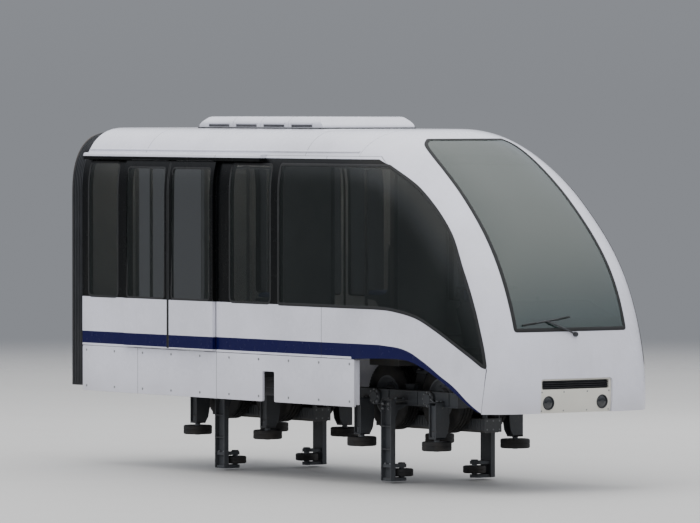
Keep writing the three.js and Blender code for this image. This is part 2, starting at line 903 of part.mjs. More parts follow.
// Colours and finishes
const finish = (color, roughness, metalness = 0) =>
  new THREE.MeshStandardMaterial({ color, roughness, metalness });
const FINISHES = {
  whitePaint: finish(0xe4e4ea, 0.3),
  lightPaint: finish(0xdedbd0, 0.35),
  darkGlass: finish(0x1c2422, 0.06),
  screenGlass: finish(0x3d524e, 0.05),
  bellowsRubber: finish(0x2c2d30, 0.85),
  tyreRubber: finish(0x1d1d1e, 0.9),
  darkSteel: finish(0x3a3c3e, 0.6, 0.6),
  motorCase: finish(0x55585a, 0.5, 0.5),
  trimGrey: finish(0x8f9294, 0.55),
  seatFabric: finish(0x2d3f63, 0.9),
  lampGlass: finish(0x25282a, 0.1),
};

// Assembly
const car = new THREE.Group();

function place(name, solid, material, parent = car) {
  const mesh = new THREE.Mesh(geometryOf(solid), material);
  mesh.name = name;
  parent.add(mesh);
  return mesh;
}

place("underframe", underframe(), FINISHES.darkSteel);
place("roof_shell", roofShell(), FINISHES.whitePaint);
place("roof_pod", roofPod(), FINISHES.whitePaint);
place("nose_shell", noseShell(), FINISHES.whitePaint);
place("windscreen", windscreen(), FINISHES.screenGlass);
place("front_fascia", frontFascia(), FINISHES.lightPaint);
place("rear_end_wall", rearWall(), FINISHES.trimGrey);
place(
  "gangway_bellows",
  gangwayRing([BELLOWS.rear, BODY_REAR - SEAT_GAP], BELLOWS.wall),
  FINISHES.bellowsRubber,
);
place(
  "gangway_end_frame",
  gangwayRing([END_FRAME_REAR, BELLOWS.rear - SEAT_GAP], END_FRAME_WALL),
  FINISHES.darkSteel,
);
place("rear_drawbar", rearDrawbar(), FINISHES.darkSteel);
place("front_coupler", frontCoupler(), FINISHES.darkSteel);
place("cab_bulkhead", cabBulkhead(), FINISHES.trimGrey);
place("driver_desk", driverDesk(), FINISHES.trimGrey);
place("driver_seat", driverSeat(), FINISHES.seatFabric);

for (const { name: side, sign } of SIDES) {
  place(`side_wall_${side}`, sideWall(sign), FINISHES.whitePaint);
  place(`skirt_${side}`, skirt(sign), FINISHES.whitePaint);
  place(`bench_${side}`, bench(sign), FINISHES.seatFabric);
  place(`headlamp_${side}`, headlamp(sign), FINISHES.lampGlass);
  place(`equipment_case_${side}`, equipmentCase(sign), FINISHES.motorCase);
  place(`door_rail_${side}`, doorRail(sign), FINISHES.whitePaint);
  for (const [name, outline] of Object.entries(WINDOWS))
    place(`${name}_${side}`, pane(outline, sign), FINISHES.darkGlass);
  for (const { name: end, centre } of LEAVES) {
    place(`door_${side}_${end}`, doorLeaf(centre, sign), FINISHES.whitePaint);
    place(`door_glass_${side}_${end}`, doorGlass(centre, sign), FINISHES.darkGlass);
  }
}

for (const { name: end, x } of BOGIES) {
  const bogie = new THREE.Group();
  bogie.position.x = x;
  car.add(bogie);
  place(`${end}_bogie_frame`, bogieFrame(), FINISHES.darkSteel, bogie);
  place(`${end}_linear_motor`, linearMotor(), FINISHES.motorCase, bogie);
  for (const [axle, direction] of [
    ["leading", 1],
    ["trailing", -1],
  ]) {
    const wheels = place(
      `${end}_bogie_${axle}_wheelset`,
      wheelset(),
      FINISHES.tyreRubber,
      bogie,
    );
    wheels.rotation.x = Math.PI / 2;
    wheels.position.set(direction * HALF_WHEELBASE, 0, TYRE_RADIUS);
    for (const { name: side, sign } of SIDES) {
      const guide = place(
        `${end}_bogie_${axle}_guide_wheel_${side}`,
        guideWheel(GUIDE, 20 - SEAT_GAP, 8),
        FINISHES.tyreRubber,
        bogie,
      );
      guide.position.set(
        direction * GUIDE.x,
        sign * (GUIDE_FACE + GUIDE.radius),
        0,
      );
    }
  }
  for (const { name: side, sign } of SIDES) {
    const stabiliser = place(
      `${end}_bogie_stabiliser_wheel_${side}`,
      guideWheel(STABILISER, 12 - SEAT_GAP, 12 - SEAT_GAP),
      FINISHES.tyreRubber,
      bogie,
    );
    stabiliser.position.set(0, sign * (GUIDE_FACE + STABILISER.radius), 0);
  }
}

export default car;
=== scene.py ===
"""Looks for the leading cab car of a straddle monorail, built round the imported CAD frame.

Lengths are in metres. X runs forward to the nose, Y to the car's left and Z up.
"""

import json
import logging
import math
from collections.abc import Callable, Iterable, Iterator, Sequence
from contextlib import contextmanager
from dataclasses import dataclass, field
from enum import Enum
from typing import Any, ClassVar, Union

import bmesh
import bpy
import numpy as np
from mathutils import Matrix, Vector
from numpy.polynomial import Polynomial

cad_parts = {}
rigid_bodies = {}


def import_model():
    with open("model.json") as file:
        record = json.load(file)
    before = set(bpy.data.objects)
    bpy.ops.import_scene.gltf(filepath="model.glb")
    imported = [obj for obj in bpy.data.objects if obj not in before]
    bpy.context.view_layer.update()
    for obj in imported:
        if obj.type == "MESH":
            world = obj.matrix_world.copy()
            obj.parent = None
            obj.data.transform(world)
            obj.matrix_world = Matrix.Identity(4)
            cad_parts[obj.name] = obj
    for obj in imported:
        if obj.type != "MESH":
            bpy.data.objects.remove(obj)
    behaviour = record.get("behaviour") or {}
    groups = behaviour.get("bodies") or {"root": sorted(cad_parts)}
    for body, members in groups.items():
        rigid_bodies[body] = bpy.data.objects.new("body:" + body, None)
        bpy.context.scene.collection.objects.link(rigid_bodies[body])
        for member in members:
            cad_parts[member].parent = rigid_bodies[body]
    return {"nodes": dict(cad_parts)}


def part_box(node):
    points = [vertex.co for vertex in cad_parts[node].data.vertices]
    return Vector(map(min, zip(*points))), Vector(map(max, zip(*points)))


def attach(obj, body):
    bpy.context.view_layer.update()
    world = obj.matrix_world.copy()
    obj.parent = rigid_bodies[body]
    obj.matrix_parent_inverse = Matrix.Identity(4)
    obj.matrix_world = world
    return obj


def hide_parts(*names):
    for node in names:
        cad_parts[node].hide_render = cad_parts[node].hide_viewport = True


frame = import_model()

LOG = logging.getLogger("monorail_car")
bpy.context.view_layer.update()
CAR = "car_body"

Point = Sequence[float]
Outline = list[tuple[float, float]]
Mesh = bpy.types.Mesh
Object = bpy.types.Object
Material = bpy.types.Material


class Side(Enum):
    """The two sides of the car, by the sign of their Y."""

    RIGHT = -1
    LEFT = 1

    @property
    def label(self) -> str:
        """The side's name as the CAD nodes spell it."""
        return self.name.lower()


class Slot(Enum):
    """The record's material slots."""

    WHITE = "white_paint"
    LIGHT = "light_paint"
    DARK_GLASS = "dark_glass"
    SCREEN = "screen_glass"
    BELLOWS = "bellows_rubber"
    TYRE = "tyre_rubber"
    STEEL = "dark_steel"
    MOTOR = "motor_case"
    TRIM = "trim_grey"
    FABRIC = "seat_fabric"
    LAMP = "lamp_glass"


# Node trees

Number = Union[float, "Wire"]


def operator(operation: str, swapped: bool = False) -> Callable[["Wire", Number], "Wire"]:
    """Makes the method that stands for one operator of shader maths.

    Args:
        operation: the Math node's operation.
        swapped: True for a reflected form, whose other value comes first.

    Returns:
        The method.
    """
    def method(self: "Wire", other: Number) -> "Wire":
        """Adds the operator's Math node."""
        pair = (other, self) if swapped else (self, other)
        return self.graph.node("ShaderNodeMath", {"operation": operation}, dict(enumerate(pair)))

    return method


class Wire:
    """A node's output. Arithmetic on it adds the Math nodes that it stands for."""

    __add__, __radd__ = operator("ADD"), operator("ADD", True)
    __sub__, __rsub__ = operator("SUBTRACT"), operator("SUBTRACT", True)
    __mul__, __rmul__ = operator("MULTIPLY"), operator("MULTIPLY", True)
    __truediv__ = operator("DIVIDE")
    most, least = operator("MAXIMUM"), operator("MINIMUM")
    repeat = operator("FLOORED_MODULO")

    def __init__(self, graph: "Graph", socket: bpy.types.NodeSocket) -> None:
        """Keeps the socket and the graph that it is in."""
        self.graph = graph
        self.socket = socket

    def size(self) -> "Wire":
        """The value without its sign."""
        return operator("ABSOLUTE")(self, 0.0)

    def above(self, edge: Number, soft: float = 0.0015) -> "Wire":
        """A mask that turns from 0 to 1 where the value passes an edge, within soft of it."""
        ends = {"Value": self - edge, "From Min": -soft, "From Max": soft}
        return self.graph.node("ShaderNodeMapRange", {"interpolation_type": "SMOOTHSTEP"}, ends)

    def below(self, edge: Number, soft: float = 0.0015) -> "Wire":
        """The mask opposite to above."""
        return 1 - self.above(edge, soft)

    def remap(self, low: float, high: float) -> "Wire":
        """A value from 0 to 1 turned into one from low to high."""
        return self * (high - low) + low


Colour = Union[str, Wire]


def linear(code: str) -> tuple[float, float, float, float]:
    """A colour written as #rrggbb in Blender's linear values.

    Args:
        code: the colour.

    Returns:
        Its red, green, blue and alpha.
    """
    parts = [int(code[i:i + 2], 16) / 255 for i in (1, 3, 5)]
    made = [p / 12.92 if p <= 0.04045 else ((p + 0.055) / 1.055) ** 2.4 for p in parts]
    return (made[0], made[1], made[2], 1.0)


class Graph:
    """A node tree while it is being wired."""

    def __init__(self, tree: bpy.types.NodeTree) -> None:
        """Takes the tree."""
        self.tree = tree

    def node(self, kind: str, settings: dict[str, Any] | None = None,
             inputs: dict[Any, Any] | None = None, output: int | str = 0) -> Wire:
        """Adds a node, sets it and feeds it.

        Args:
            kind: the node's type.
            settings: its own options, with stops for a ramp and curve for a float curve.
            inputs: values or wires by socket, or a list for a socket that takes several.
            output: the socket that is wanted.

        Returns:
            The output as a wire.
        """
        node = self.tree.nodes.new(kind)
        for key, value in (settings or {}).items():
            if key == "stops":
                self._ramp(node.color_ramp, value)
            elif key == "curve":
                self._curve(node.mapping, value)
            else:
                setattr(node, key, value)
        for key, value in (inputs or {}).items():
            for one in value if isinstance(value, list) else [value]:
                self.feed(node.inputs[key], one)
        return Wire(self, node.outputs[output])

    def feed(self, socket: bpy.types.NodeSocket, value: Any) -> None:
        """Links a wire to a socket, or sets the socket's own value.

        Args:
            socket: the input.
            value: a wire, a number, a vector, or a colour written as #rrggbb.
        """
        if isinstance(value, Wire):
            self.tree.links.new(value.socket, socket)
        elif isinstance(value, str) and value.startswith("#"):
            socket.default_value = linear(value)
        else:
            socket.default_value = value

    @staticmethod
    def _ramp(ramp: bpy.types.ColorRamp, stops: Sequence[tuple[float, str]]) -> None:
        """Gives a colour ramp, which starts with two stops, its own.

        Args:
            ramp: the ramp.
            stops: each stop's place and colour.
        """
        for index, (at, colour) in enumerate(stops):
            if index < len(ramp.elements):
                ramp.elements[index].position = at
            else:
                ramp.elements.new(at)
            ramp.elements[index].color = linear(colour)

    @staticmethod
    def _curve(mapping: bpy.types.CurveMapping, points: Outline) -> None:
        """Gives a float curve, which starts with two points, its own.

        Args:
            mapping: the curve's mapping.
            points: the points in order.
        """
        curve = mapping.curves[0]
        curve.points[0].location, curve.points[-1].location = points[0], points[-1]
        for at in points[1:-1]:
            curve.points.new(*at)
        mapping.update()


class Board(Graph):
    """A material's node tree while it is being wired. Its patterns read Object coordinates."""

    def __init__(self, name: str) -> None:
        """Starts an empty material.

        Args:
            name: the material's name.
        """
        self.material = bpy.data.materials.new(name)
        self.material.use_nodes = True
        super().__init__(self.material.node_tree)
        self.tree.nodes.clear()
        self.place = self.node("ShaderNodeTexCoord", output="Object")

    def axis(self, letter: str) -> Wire:
        """The X, Y or Z of the point's place."""
        return self.node("ShaderNodeSeparateXYZ", inputs={0: self.place}, output=letter)

    def _stretched(self, scale: Point | None) -> Wire:
        """The point's place, each axis times its own scale if it has one."""
        values = {"Vector": self.place, "Scale": scale}
        return self.node("ShaderNodeMapping", inputs=values) if scale else self.place

    def noise(self, scale: float, detail: float = 3.0, stretch: Point | None = None,
              rough: float = 0.55) -> Wire:
        """Noise from 0 to 1, of so many waves a metre, with so many octaves of so much weight."""
        values = {"Scale": scale, "Detail": detail, "Roughness": rough}
        return self.node("ShaderNodeTexNoise", inputs={"Vector": self._stretched(stretch), **values})

    def cells(self, scale: float, feature: str = "F1", stretch: Point | None = None) -> Wire:
        """Distances in a Voronoi pattern with a given number of cells a metre."""
        values = {"Vector": self._stretched(stretch), "Scale": scale}
        return self.node("ShaderNodeTexVoronoi", {"feature": feature}, values)

    def mix(self, share: Number, first: Colour, second: Colour) -> Wire:
        """Mixes two colours, by a share of the second."""
        values = {0: share, 6: first, 7: second}
        return self.node("ShaderNodeMix", {"data_type": "RGBA"}, values, 2)

    def bump(self, height: Wire, strength: float, depth: float) -> Wire:
        """A normal that a height from 0 to 1 pushes about, by a depth in metres."""
        values = {"Height": height, "Strength": strength, "Distance": depth}
        return self.node("ShaderNodeBump", inputs=values)

    def shade(self, **sockets: Any) -> Wire:
        """A Principled shader with sockets named in small letters, words joined by _."""
        values = {"IOR" if k == "ior" else k.replace("_", " ").title(): v for k, v in sockets.items()}
        return self.node("ShaderNodeBsdfPrincipled", inputs=values)

    def close(self, shader: Wire) -> Material:
        """Puts the shader on the material's output and gives back the material."""
        self.feed(self.tree.nodes.new("ShaderNodeOutputMaterial").inputs["Surface"], shader)
        return self.material


# Finishes


@dataclass(frozen=True)
class Finish:
    """A surface finish. Each one makes its material once."""

    name: str
    _made: ClassVar[dict[str, Material]] = {}

    def wire(self, board: Board) -> Wire:
        """Wires the finish's nodes on a board and gives back its shader."""
        raise NotImplementedError

    def material(self) -> Material:
        """The finish's material, made on first use.

        Returns:
            The material.
        """
        if self.name not in self._made:
            board = Board(self.name)
            self._made[self.name] = board.close(self.wire(board))
        return self._made[self.name]


def road_dust(board: Board, top: float, reach: float) -> Wire:
    """A mask of dust that is thick at the bottom of the body and fades out at the top."""
    fade = board.axis("Z").below(top, reach)
    return fade * board.noise(3.0, 5.0, (1.0, 1.0, 2.5)).remap(0.25, 1.25)


def rain_streaks(board: Board) -> Wire:
    """A mask of thin upright streaks that rain leaves."""
    streaks = board.noise(9.0, 4.0, (1.6, 1.6, 0.12), 0.62)
    return streaks.above(0.6, 0.16) * board.noise(1.3, 2.0)


@dataclass(frozen=True)
class CoachPaint(Finish):
    """Glossy white coach paint with fine orange peel, rain streaks, dust and panel joints."""

    white: str = "#d9d9e4"
    warm: str = "#c9c9d2"
    grime: str = "#8b857c"
    joint: str = "#1b1b1e"
    joints: tuple[float, ...] = ()

    def pattern(self, board: Board, white: Wire) -> tuple[Wire, Number]:
        """The colour with the painted pattern over it, and the share that is still white."""
        return white, 1.0

    def wire(self, board: Board) -> Wire:
        """Wires the paint.

        Args:
            board: the material's board.

        Returns:
            The shader.
        """
        cloud = board.noise(1.1, 3.0)
        white = board.mix(cloud.above(0.5, 0.3), self.white, self.warm)
        colour, plain = self.pattern(board, white)
        dirt = (road_dust(board, 0.36, 0.34) * 0.42).most(rain_streaks(board) * 0.12)
        dirt = dirt * (plain * 0.8 + 0.2)
        colour = board.mix(dirt, colour, self.grime)
        for at in self.joints:
            line = (board.axis("X") - at).size().below(0.0035)
            colour = board.mix(line * 0.8, colour, self.joint)
        rough = (board.noise(14.0, 4.0) * 0.12 + 0.2 + dirt * 0.4).least(1.0)
        peel = board.bump(board.noise(170.0, 2.0), 0.05, 0.0006)
        return board.shade(base_color=colour, roughness=rough, ior=1.22, coat_weight=plain * 0.55,
                           coat_roughness=0.06, normal=peel)


@dataclass(frozen=True)
class Livery(CoachPaint):
    """Coach paint with the blue stripe along the side and the black window band."""

    blue: str = "#0a0b3c"
    black: str = "#060708"
    band: tuple[float, float] = (1.313, 2.852)
    band_fall: tuple[float, float, float] = (1.85, 0.15, 0.35)
    stripe_foot: float = 0.803
    stripe_open: tuple[float, float] = (1.55, 1.62)
    stripe_line: tuple[tuple[float, float], ...] = (
        (1.9, 0.94), (2.12, 0.935), (2.495, 0.898), (2.782, 0.798), (3.083, 0.658),
        (3.325, 0.544), (3.526, 0.401), (3.7, 0.27))

    def pattern(self, board: Board, white: Wire) -> tuple[Wire, Number]:
        """Lays the stripe, whose foot ends at the wheel arch, and the band over the white.

        Args:
            board: the material's board.
            white: the colour below.

        Returns:
            The colour and the share that is still white.
        """
        along, up = board.axis("X"), board.axis("Z")
        start, end = self.stripe_line[0][0], self.stripe_line[-1][0]
        points = [((x - start) / (end - start), z) for x, z in self.stripe_line]
        share = (along - start) / (end - start)
        line = board.node("ShaderNodeFloatCurve", {"curve": points}, {"Value": share})
        foot = board.node("ShaderNodeMapRange", inputs={
            "Value": along, "From Min": self.stripe_open[0], "From Max": self.stripe_open[1],
            "To Min": self.stripe_foot, "To Max": 0.2})
        stripe = up.below(line) * up.above(foot)
        fall_from, reach, steep = self.band_fall
        top = self.band[1] - (along - fall_from).most(0.0).least(reach) * steep
        band = up.above(self.band[0]) * up.below(top)
        colour = board.mix(band, board.mix(stripe, white, self.blue), self.black)
        return colour, 1 - band.most(stripe)


@dataclass(frozen=True)
class Glazing(Finish):
    """Tinted safety glass with a faint film of dust."""

    tint: str = "#060a09"
    dusty: str = "#5e6864"
    see_through: float = 0.42
    bend: float = 1.4

    def wire(self, board: Board) -> Wire:
        """Wires the glass.

        Args:
            board: the material's board.

        Returns:
            The shader.
        """
        film = board.noise(2.3, 5.0, (1.0, 1.0, 0.5))
        solid = 1 - self.see_through
        return board.shade(
            base_color=board.mix(film * 0.08, self.tint, self.dusty),
            roughness=film.remap(0.015, 0.06), ior=self.bend,
            alpha=film.remap(solid - 0.03, solid + 0.03),
            normal=board.bump(board.noise(1.7, 1.0), 0.12, 0.004))


@dataclass(frozen=True)
class Rubber(Finish):
    """Moulded rubber, greyed by dust in its hollows."""

    black: str = "#17181a"
    grey: str = "#3c3d40"
    grain: float = 420.0

    def wire(self, board: Board) -> Wire:
        """Wires the rubber.

        Args:
            board: the material's board.

        Returns:
            The shader.
        """
        patch = board.noise(6.0, 5.0)
        grit = board.noise(self.grain, 2.0)
        return board.shade(
            base_color=board.mix(patch.above(0.55, 0.2) * 0.7, self.black, self.grey),
            roughness=patch.remap(0.55, 0.9),
            normal=board.bump(grit * 0.5 + patch * 0.5, 0.35, 0.0008))


@dataclass(frozen=True)
class BellowsCloth(Finish):
    """Rubber-coated woven cloth of the gangway's folds."""

    dark: str = "#212226"
    light: str = "#44464b"
    dusty: str = "#6b655c"

    def wire(self, board: Board) -> Wire:
        """Wires the cloth.

        Args:
            board: the material's board.

        Returns:
            The shader.
        """
        weave = board.cells(330.0, stretch=(1.0, 1.0, 0.7))
        patch = board.noise(3.5, 5.0)
        dust = board.axis("Z").below(0.9, 0.8) * 0.5
        colour = board.mix(patch.above(0.5, 0.3) * 0.8, self.dark, self.light)
        return board.shade(base_color=board.mix(dust * patch, colour, self.dusty),
                           roughness=patch.remap(0.6, 0.85), sheen_weight=0.15,
                           normal=board.bump(weave, 0.4, 0.0008))


@dataclass(frozen=True)
class MachinePaint(Finish):
    """Painted steel with brake dust on top, chips along the edges and a cast or rolled grain."""

    paint: str = "#3f4348"
    soot: str = "#121315"
    chip: str = "#7c7468"
    dust: str = "#5d4d3f"
    metal: float = 0.25

    def wire(self, board: Board) -> Wire:
        """Wires the steel.

        Args:
            board: the material's board.

        Returns:
            The shader.
        """
        patch = board.noise(4.5, 6.0)
        fine = board.noise(60.0, 4.0)
        facing = board.node("ShaderNodeNewGeometry", output="Normal")
        up = board.node("ShaderNodeSeparateXYZ", inputs={0: facing}, output="Z")
        settled = (up.most(0.0) * 0.5 + 0.12) * patch.above(0.45, 0.25)
        chips = board.noise(38.0, 5.0, None, 0.7).above(0.66, 0.025)
        colour = board.mix(settled, board.mix(fine * 0.35, self.paint, self.soot), self.dust)
        return board.shade(
            base_color=board.mix(chips * 0.55, colour, self.chip),
            metallic=chips * self.metal + self.metal * 0.4,
            roughness=(patch * 0.25 + 0.42 + settled * 0.4).least(1.0),
            normal=board.bump(fine * 0.6 + chips * 0.4, 0.3, 0.0012))


@dataclass(frozen=True)
class BareMetal(Finish):
    """Brushed or turned metal with smudges."""

    colour: str = "#a9abad"
    smudged: str = "#6f7072"
    brush: tuple[float, float, float] = (1.0, 1.0, 40.0)
    shine: float = 0.28

    def wire(self, board: Board) -> Wire:
        """Wires the metal.

        Args:
            board: the material's board.

        Returns:
            The shader.
        """
        lines = board.noise(26.0, 4.0, self.brush)
        smudge = board.noise(5.0, 4.0)
        return board.shade(base_color=board.mix(smudge * 0.5, self.colour, self.smudged),
                           metallic=smudge.remap(1.0, 0.82),
                           roughness=(lines * 0.18 + smudge * 0.16 + self.shine).least(1.0),
                           normal=board.bump(lines, 0.12, 0.0004))


@dataclass(frozen=True)
class Laminate(Finish):
    """Moulded interior panel with a pebbled grain and hand marks."""

    colour: str = "#b9bcbd"
    shade_colour: str = "#abaeb0"
    gloss: float = 0.45

    def wire(self, board: Board) -> Wire:
        """Wires the panel.

        Args:
            board: the material's board.

        Returns:
            The shader.
        """
        marks = board.noise(4.0, 4.0)
        return board.shade(
            base_color=board.mix(marks.above(0.5, 0.3), self.colour, self.shade_colour),
            roughness=marks.remap(self.gloss - 0.08, self.gloss + 0.18),
            normal=board.bump(board.cells(260.0, "SMOOTH_F1"), 0.25, 0.0006))


@dataclass(frozen=True)
class FloorOnSteel(Finish):
    """The floor's speckled sheet on top, and dusty painted steel below its level."""

    sheet: str = "#4b4f55"
    fleck: str = "#8d9196"
    worn: str = "#2f3033"
    steel: tuple[str, str] = ("#2b2d30", "#3d3a36")
    level: float = 0.9485

    def wire(self, board: Board) -> Wire:
        """Wires both finishes.

        Args:
            board: the material's board.

        Returns:
            The shader.
        """
        top = board.axis("Z").above(self.level, 0.0005)
        wear = board.noise(2.2, 4.0)
        sheet = board.mix(board.cells(190.0).below(0.28, 0.05) * 0.6, self.sheet, self.fleck)
        sheet = board.mix(wear.above(0.58, 0.15) * 0.35, sheet, self.worn)
        steel = board.mix(board.noise(5.0, 6.0).above(0.5, 0.25), *self.steel)
        return board.shade(base_color=board.mix(top, steel, sheet), roughness=wear.remap(0.5, 0.75),
                           normal=board.bump(board.noise(70.0, 4.0), 0.25, 0.0008))


@dataclass(frozen=True)
class SeatCloth(Finish):
    """Woven moquette with a small even fleck."""

    base: str = "#26375e"
    thread: str = "#4c629a"
    fleck: str = "#9aa6bf"
    worn: str = "#59627a"
    threads: float = 420.0

    def wire(self, board: Board) -> Wire:
        """Wires the cloth.

        Args:
            board: the material's board.

        Returns:
            The shader.
        """
        warp = (board.axis("Y") * self.threads).repeat(1.0)
        weft = ((board.axis("X") + board.axis("Z")) * self.threads).repeat(1.0)
        weave = (warp - 0.5).size() + (weft - 0.5).size()
        wear = board.noise(5.0, 3.0)
        colour = board.mix(weave, self.base, self.thread)
        colour = board.mix(board.cells(95.0).below(0.2, 0.04) * 0.55, colour, self.fleck)
        return board.shade(base_color=board.mix(wear.above(0.6, 0.15) * 0.2, colour, self.worn),
                           roughness=wear.remap(0.78, 0.95), sheen_weight=0.35,
                           sheen_roughness=0.4, normal=board.bump(weave, 0.5, 0.0008))


@dataclass(frozen=True)
class Lens(Finish):
    """Fluted lens of a lamp that is off."""

    tint: str = "#0d0f12"
    smeared: str = "#3a4046"

    def wire(self, board: Board) -> Wire:
        """Wires the lens.

        Args:
            board: the material's board.

        Returns:
            The shader.
        """
        flutes = ((board.axis("Y") * 90.0).repeat(1.0) - 0.5).size()
        smear = board.noise(9.0, 3.0)
        return board.shade(base_color=board.mix(smear * 0.3, self.tint, self.smeared),
                           roughness=smear.remap(0.04, 0.14), coat_weight=0.8,
                           normal=board.bump(flutes, 0.25, 0.002))


@dataclass(frozen=True)
class Screen(Finish):
    """Dark display or indicator behind clear plastic, off."""

    tint: str = "#0a0d10"
    smeared: str = "#1d242b"

    def wire(self, board: Board) -> Wire:
        """Wires the screen.

        Args:
            board: the material's board.

        Returns:
            The shader.
        """
        smear = board.noise(16.0, 4.0)
        return board.shade(base_color=board.mix(smear * 0.3, self.tint, self.smeared),
                           roughness=smear.remap(0.05, 0.22),
                           normal=board.bump(board.noise(300.0, 1.0), 0.03, 0.0003))


@dataclass(frozen=True)
class Diffuser(Finish):
    """Milky ribbed plastic over a light."""

    glow: float = 0.0
    milk: tuple[str, str] = ("#e9e8e2", "#d3cfc2")
    light: tuple[str, str] = ("#fff6e6", "#d9cfbe")

    def wire(self, board: Board) -> Wire:
        """Wires the diffuser.

        Args:
            board: the material's board.

        Returns:
            The shader.
        """
        ribs = ((board.axis("X") * 120.0).repeat(1.0) - 0.5).size()
        age = board.noise(3.0, 3.0)
        return board.shade(
            base_color=board.mix(age * 0.5, *self.milk), roughness=age.remap(0.3, 0.5),
            emission_color=board.mix(ribs * 0.3, *self.light), emission_strength=self.glow,
            normal=board.bump(ribs, 0.3, 0.001))


WHITE = CoachPaint("white_coach_paint")
ROOF_WHITE = CoachPaint("white_roof_paint", joints=(-2.36, 0.62))
LIVERY = Livery("striped_coach_paint", joints=(-0.905, 1.02))
SKIRT_PAINT = CoachPaint("white_skirt_paint", joints=(-2.4, -0.9))
CREAM = CoachPaint("cream_fascia_paint", white="#d8d6cd", warm="#c6c4ba")
SIDE_GLASS = Glazing("tinted_side_glass")
SCREEN_GLASS = Glazing("green_windscreen_glass", tint="#0b2822", see_through=0.28, bend=1.85)
SEAL = Rubber("black_seal_rubber", black="#0c0d0e", grey="#232427")
TYRE_RUBBER = Rubber("tyre_rubber_dusty", black="#141415", grey="#3b3733", grain=240.0)
BELLOWS_CLOTH = BellowsCloth("bellows_cloth")
BOGIE_PAINT = MachinePaint("bogie_paint", dust="#5b5248")
CASE_PAINT = MachinePaint("case_paint", paint="#4b4e52", metal=0.15)
MOTOR_PAINT = MachinePaint("motor_paint", paint="#53575b", dust="#6a5a4b", metal=0.3)
FRAME_PAINT = MachinePaint("end_frame_paint", paint="#2a2c30", metal=0.2)
RIM_PAINT = MachinePaint("wheel_rim_paint", paint="#777b80", chip="#b0aca4", metal=0.4)
STAINLESS = BareMetal("brushed_stainless")
BOLT_METAL = BareMetal("zinc_plated_bolts", colour="#8e9092", shine=0.36)
DARK_ALLOY = BareMetal("dark_anodised_alloy", colour="#4a4c50", shine=0.4)
ALLOY = BareMetal("ribbed_alloy", colour="#9c9ea1", brush=(40.0, 1.0, 1.0), shine=0.34)
WALL_PANEL = Laminate("interior_wall_laminate")
CEILING = Laminate("ceiling_laminate", colour="#d2d3d1", shade_colour="#c7c8c6")
DARK_PLASTIC = Laminate("dark_moulded_plastic", colour="#2c2e32", shade_colour="#212327")
DESK_PLASTIC = Laminate("desk_plastic", colour="#5d6165", shade_colour="#4c5054")
SHELL_PLASTIC = Laminate("seat_shell_plastic", colour="#70767e", shade_colour="#5d636b")
FLOOR = FloorOnSteel("floor_sheet_on_steel")
CLOTH = SeatCloth("woven_seat_cloth")
PIPING = SeatCloth("seat_welt_cloth", base="#1c2233", thread="#2b3450", fleck="#3b4667")
STOP_RED = Laminate("stop_button_red", colour="#9c1f1a", shade_colour="#7d1814", gloss=0.3)
LAMINATIONS = BareMetal("motor_laminations", colour="#6d6a66", brush=(90.0, 1.0, 1.0), shine=0.5)
LENS = Lens("lamp_lens")
DISPLAY = Screen("dark_display")
DIFFUSER = Diffuser("light_diffuser")
LIT_DIFFUSER = Diffuser("lit_ceiling_diffuser", glow=8.0)


# Shapes


def link(mesh: Mesh, name: str) -> Object:
    """Puts a mesh into the scene.

    Args:
        mesh: the mesh.
        name: the object's name.

    Returns:
        The object, at the origin.
    """
    made = bpy.data.objects.new(name, mesh)
    bpy.context.scene.collection.objects.link(made)
    return made


@contextmanager
def reworked(mesh: Mesh) -> Iterator[bmesh.types.BMesh]:
    """Opens a mesh for editing and writes it back.

    Args:
        mesh: the mesh.

    Yields:
        Its faces, edges and vertices.
    """
    work = bmesh.new()
    work.from_mesh(mesh)
    yield work
    work.to_mesh(mesh)
    work.free()


def floats(items: Any, key: str, width: int = 1) -> np.ndarray:
    """Reads one attribute of every item of a mesh's collection.

    Args:
        items: the collection.
        key: the attribute.
        width: how many numbers it has.

    Returns:
        The numbers, a row for each item.
    """
    held = np.empty(len(items) * width, np.float64)
    items.foreach_get(key, held)
    return held.reshape(-1, width) if width > 1 else held


def baked(piece: Object) -> Object:
    """Applies a piece's modifiers to its mesh.

    Args:
        piece: the piece.

    Returns:
        The piece.
    """
    graph = bpy.context.evaluated_depsgraph_get()
    mesh = bpy.data.meshes.new_from_object(piece.evaluated_get(graph))
    piece.modifiers.clear()
    old, piece.data = piece.data, mesh
    bpy.data.meshes.remove(old)
    return piece


def crease(piece: Object, angle: float) -> Object:
    """Shades a piece smooth, but for its sharp edges.

    Args:
        piece: the piece.
        angle: edges that turn by more than this many degrees stay crisp.

    Returns:
        The piece.
    """
    with reworked(piece.data) as work:
        for face in work.faces:
            face.smooth = True
        for edge in work.edges:
            turn = edge.calc_face_angle(0.0)
            edge.smooth = len(edge.link_faces) == 2 and turn < math.radians(angle)
    flats = piece.modifiers.new("flats", "WEIGHTED_NORMAL")
    flats.keep_sharp, flats.weight = True, 80
    return baked(piece)


def bevelled(piece: Object, width: float = 0.004, angle: float = 35.0) -> Object:
    """Rounds a piece's sharp edges and shades it.

    Args:
        piece: the piece.
        width: how wide an edge is rounded.
        angle: the least turn of a sharp edge, in degrees.

    Returns:
        The piece.
    """
    bevel = piece.modifiers.new("edges", "BEVEL")
    bevel.width, bevel.segments, bevel.limit_method = width, 2, "ANGLE"
    bevel.angle_limit = math.radians(angle)
    return crease(baked(piece), angle)


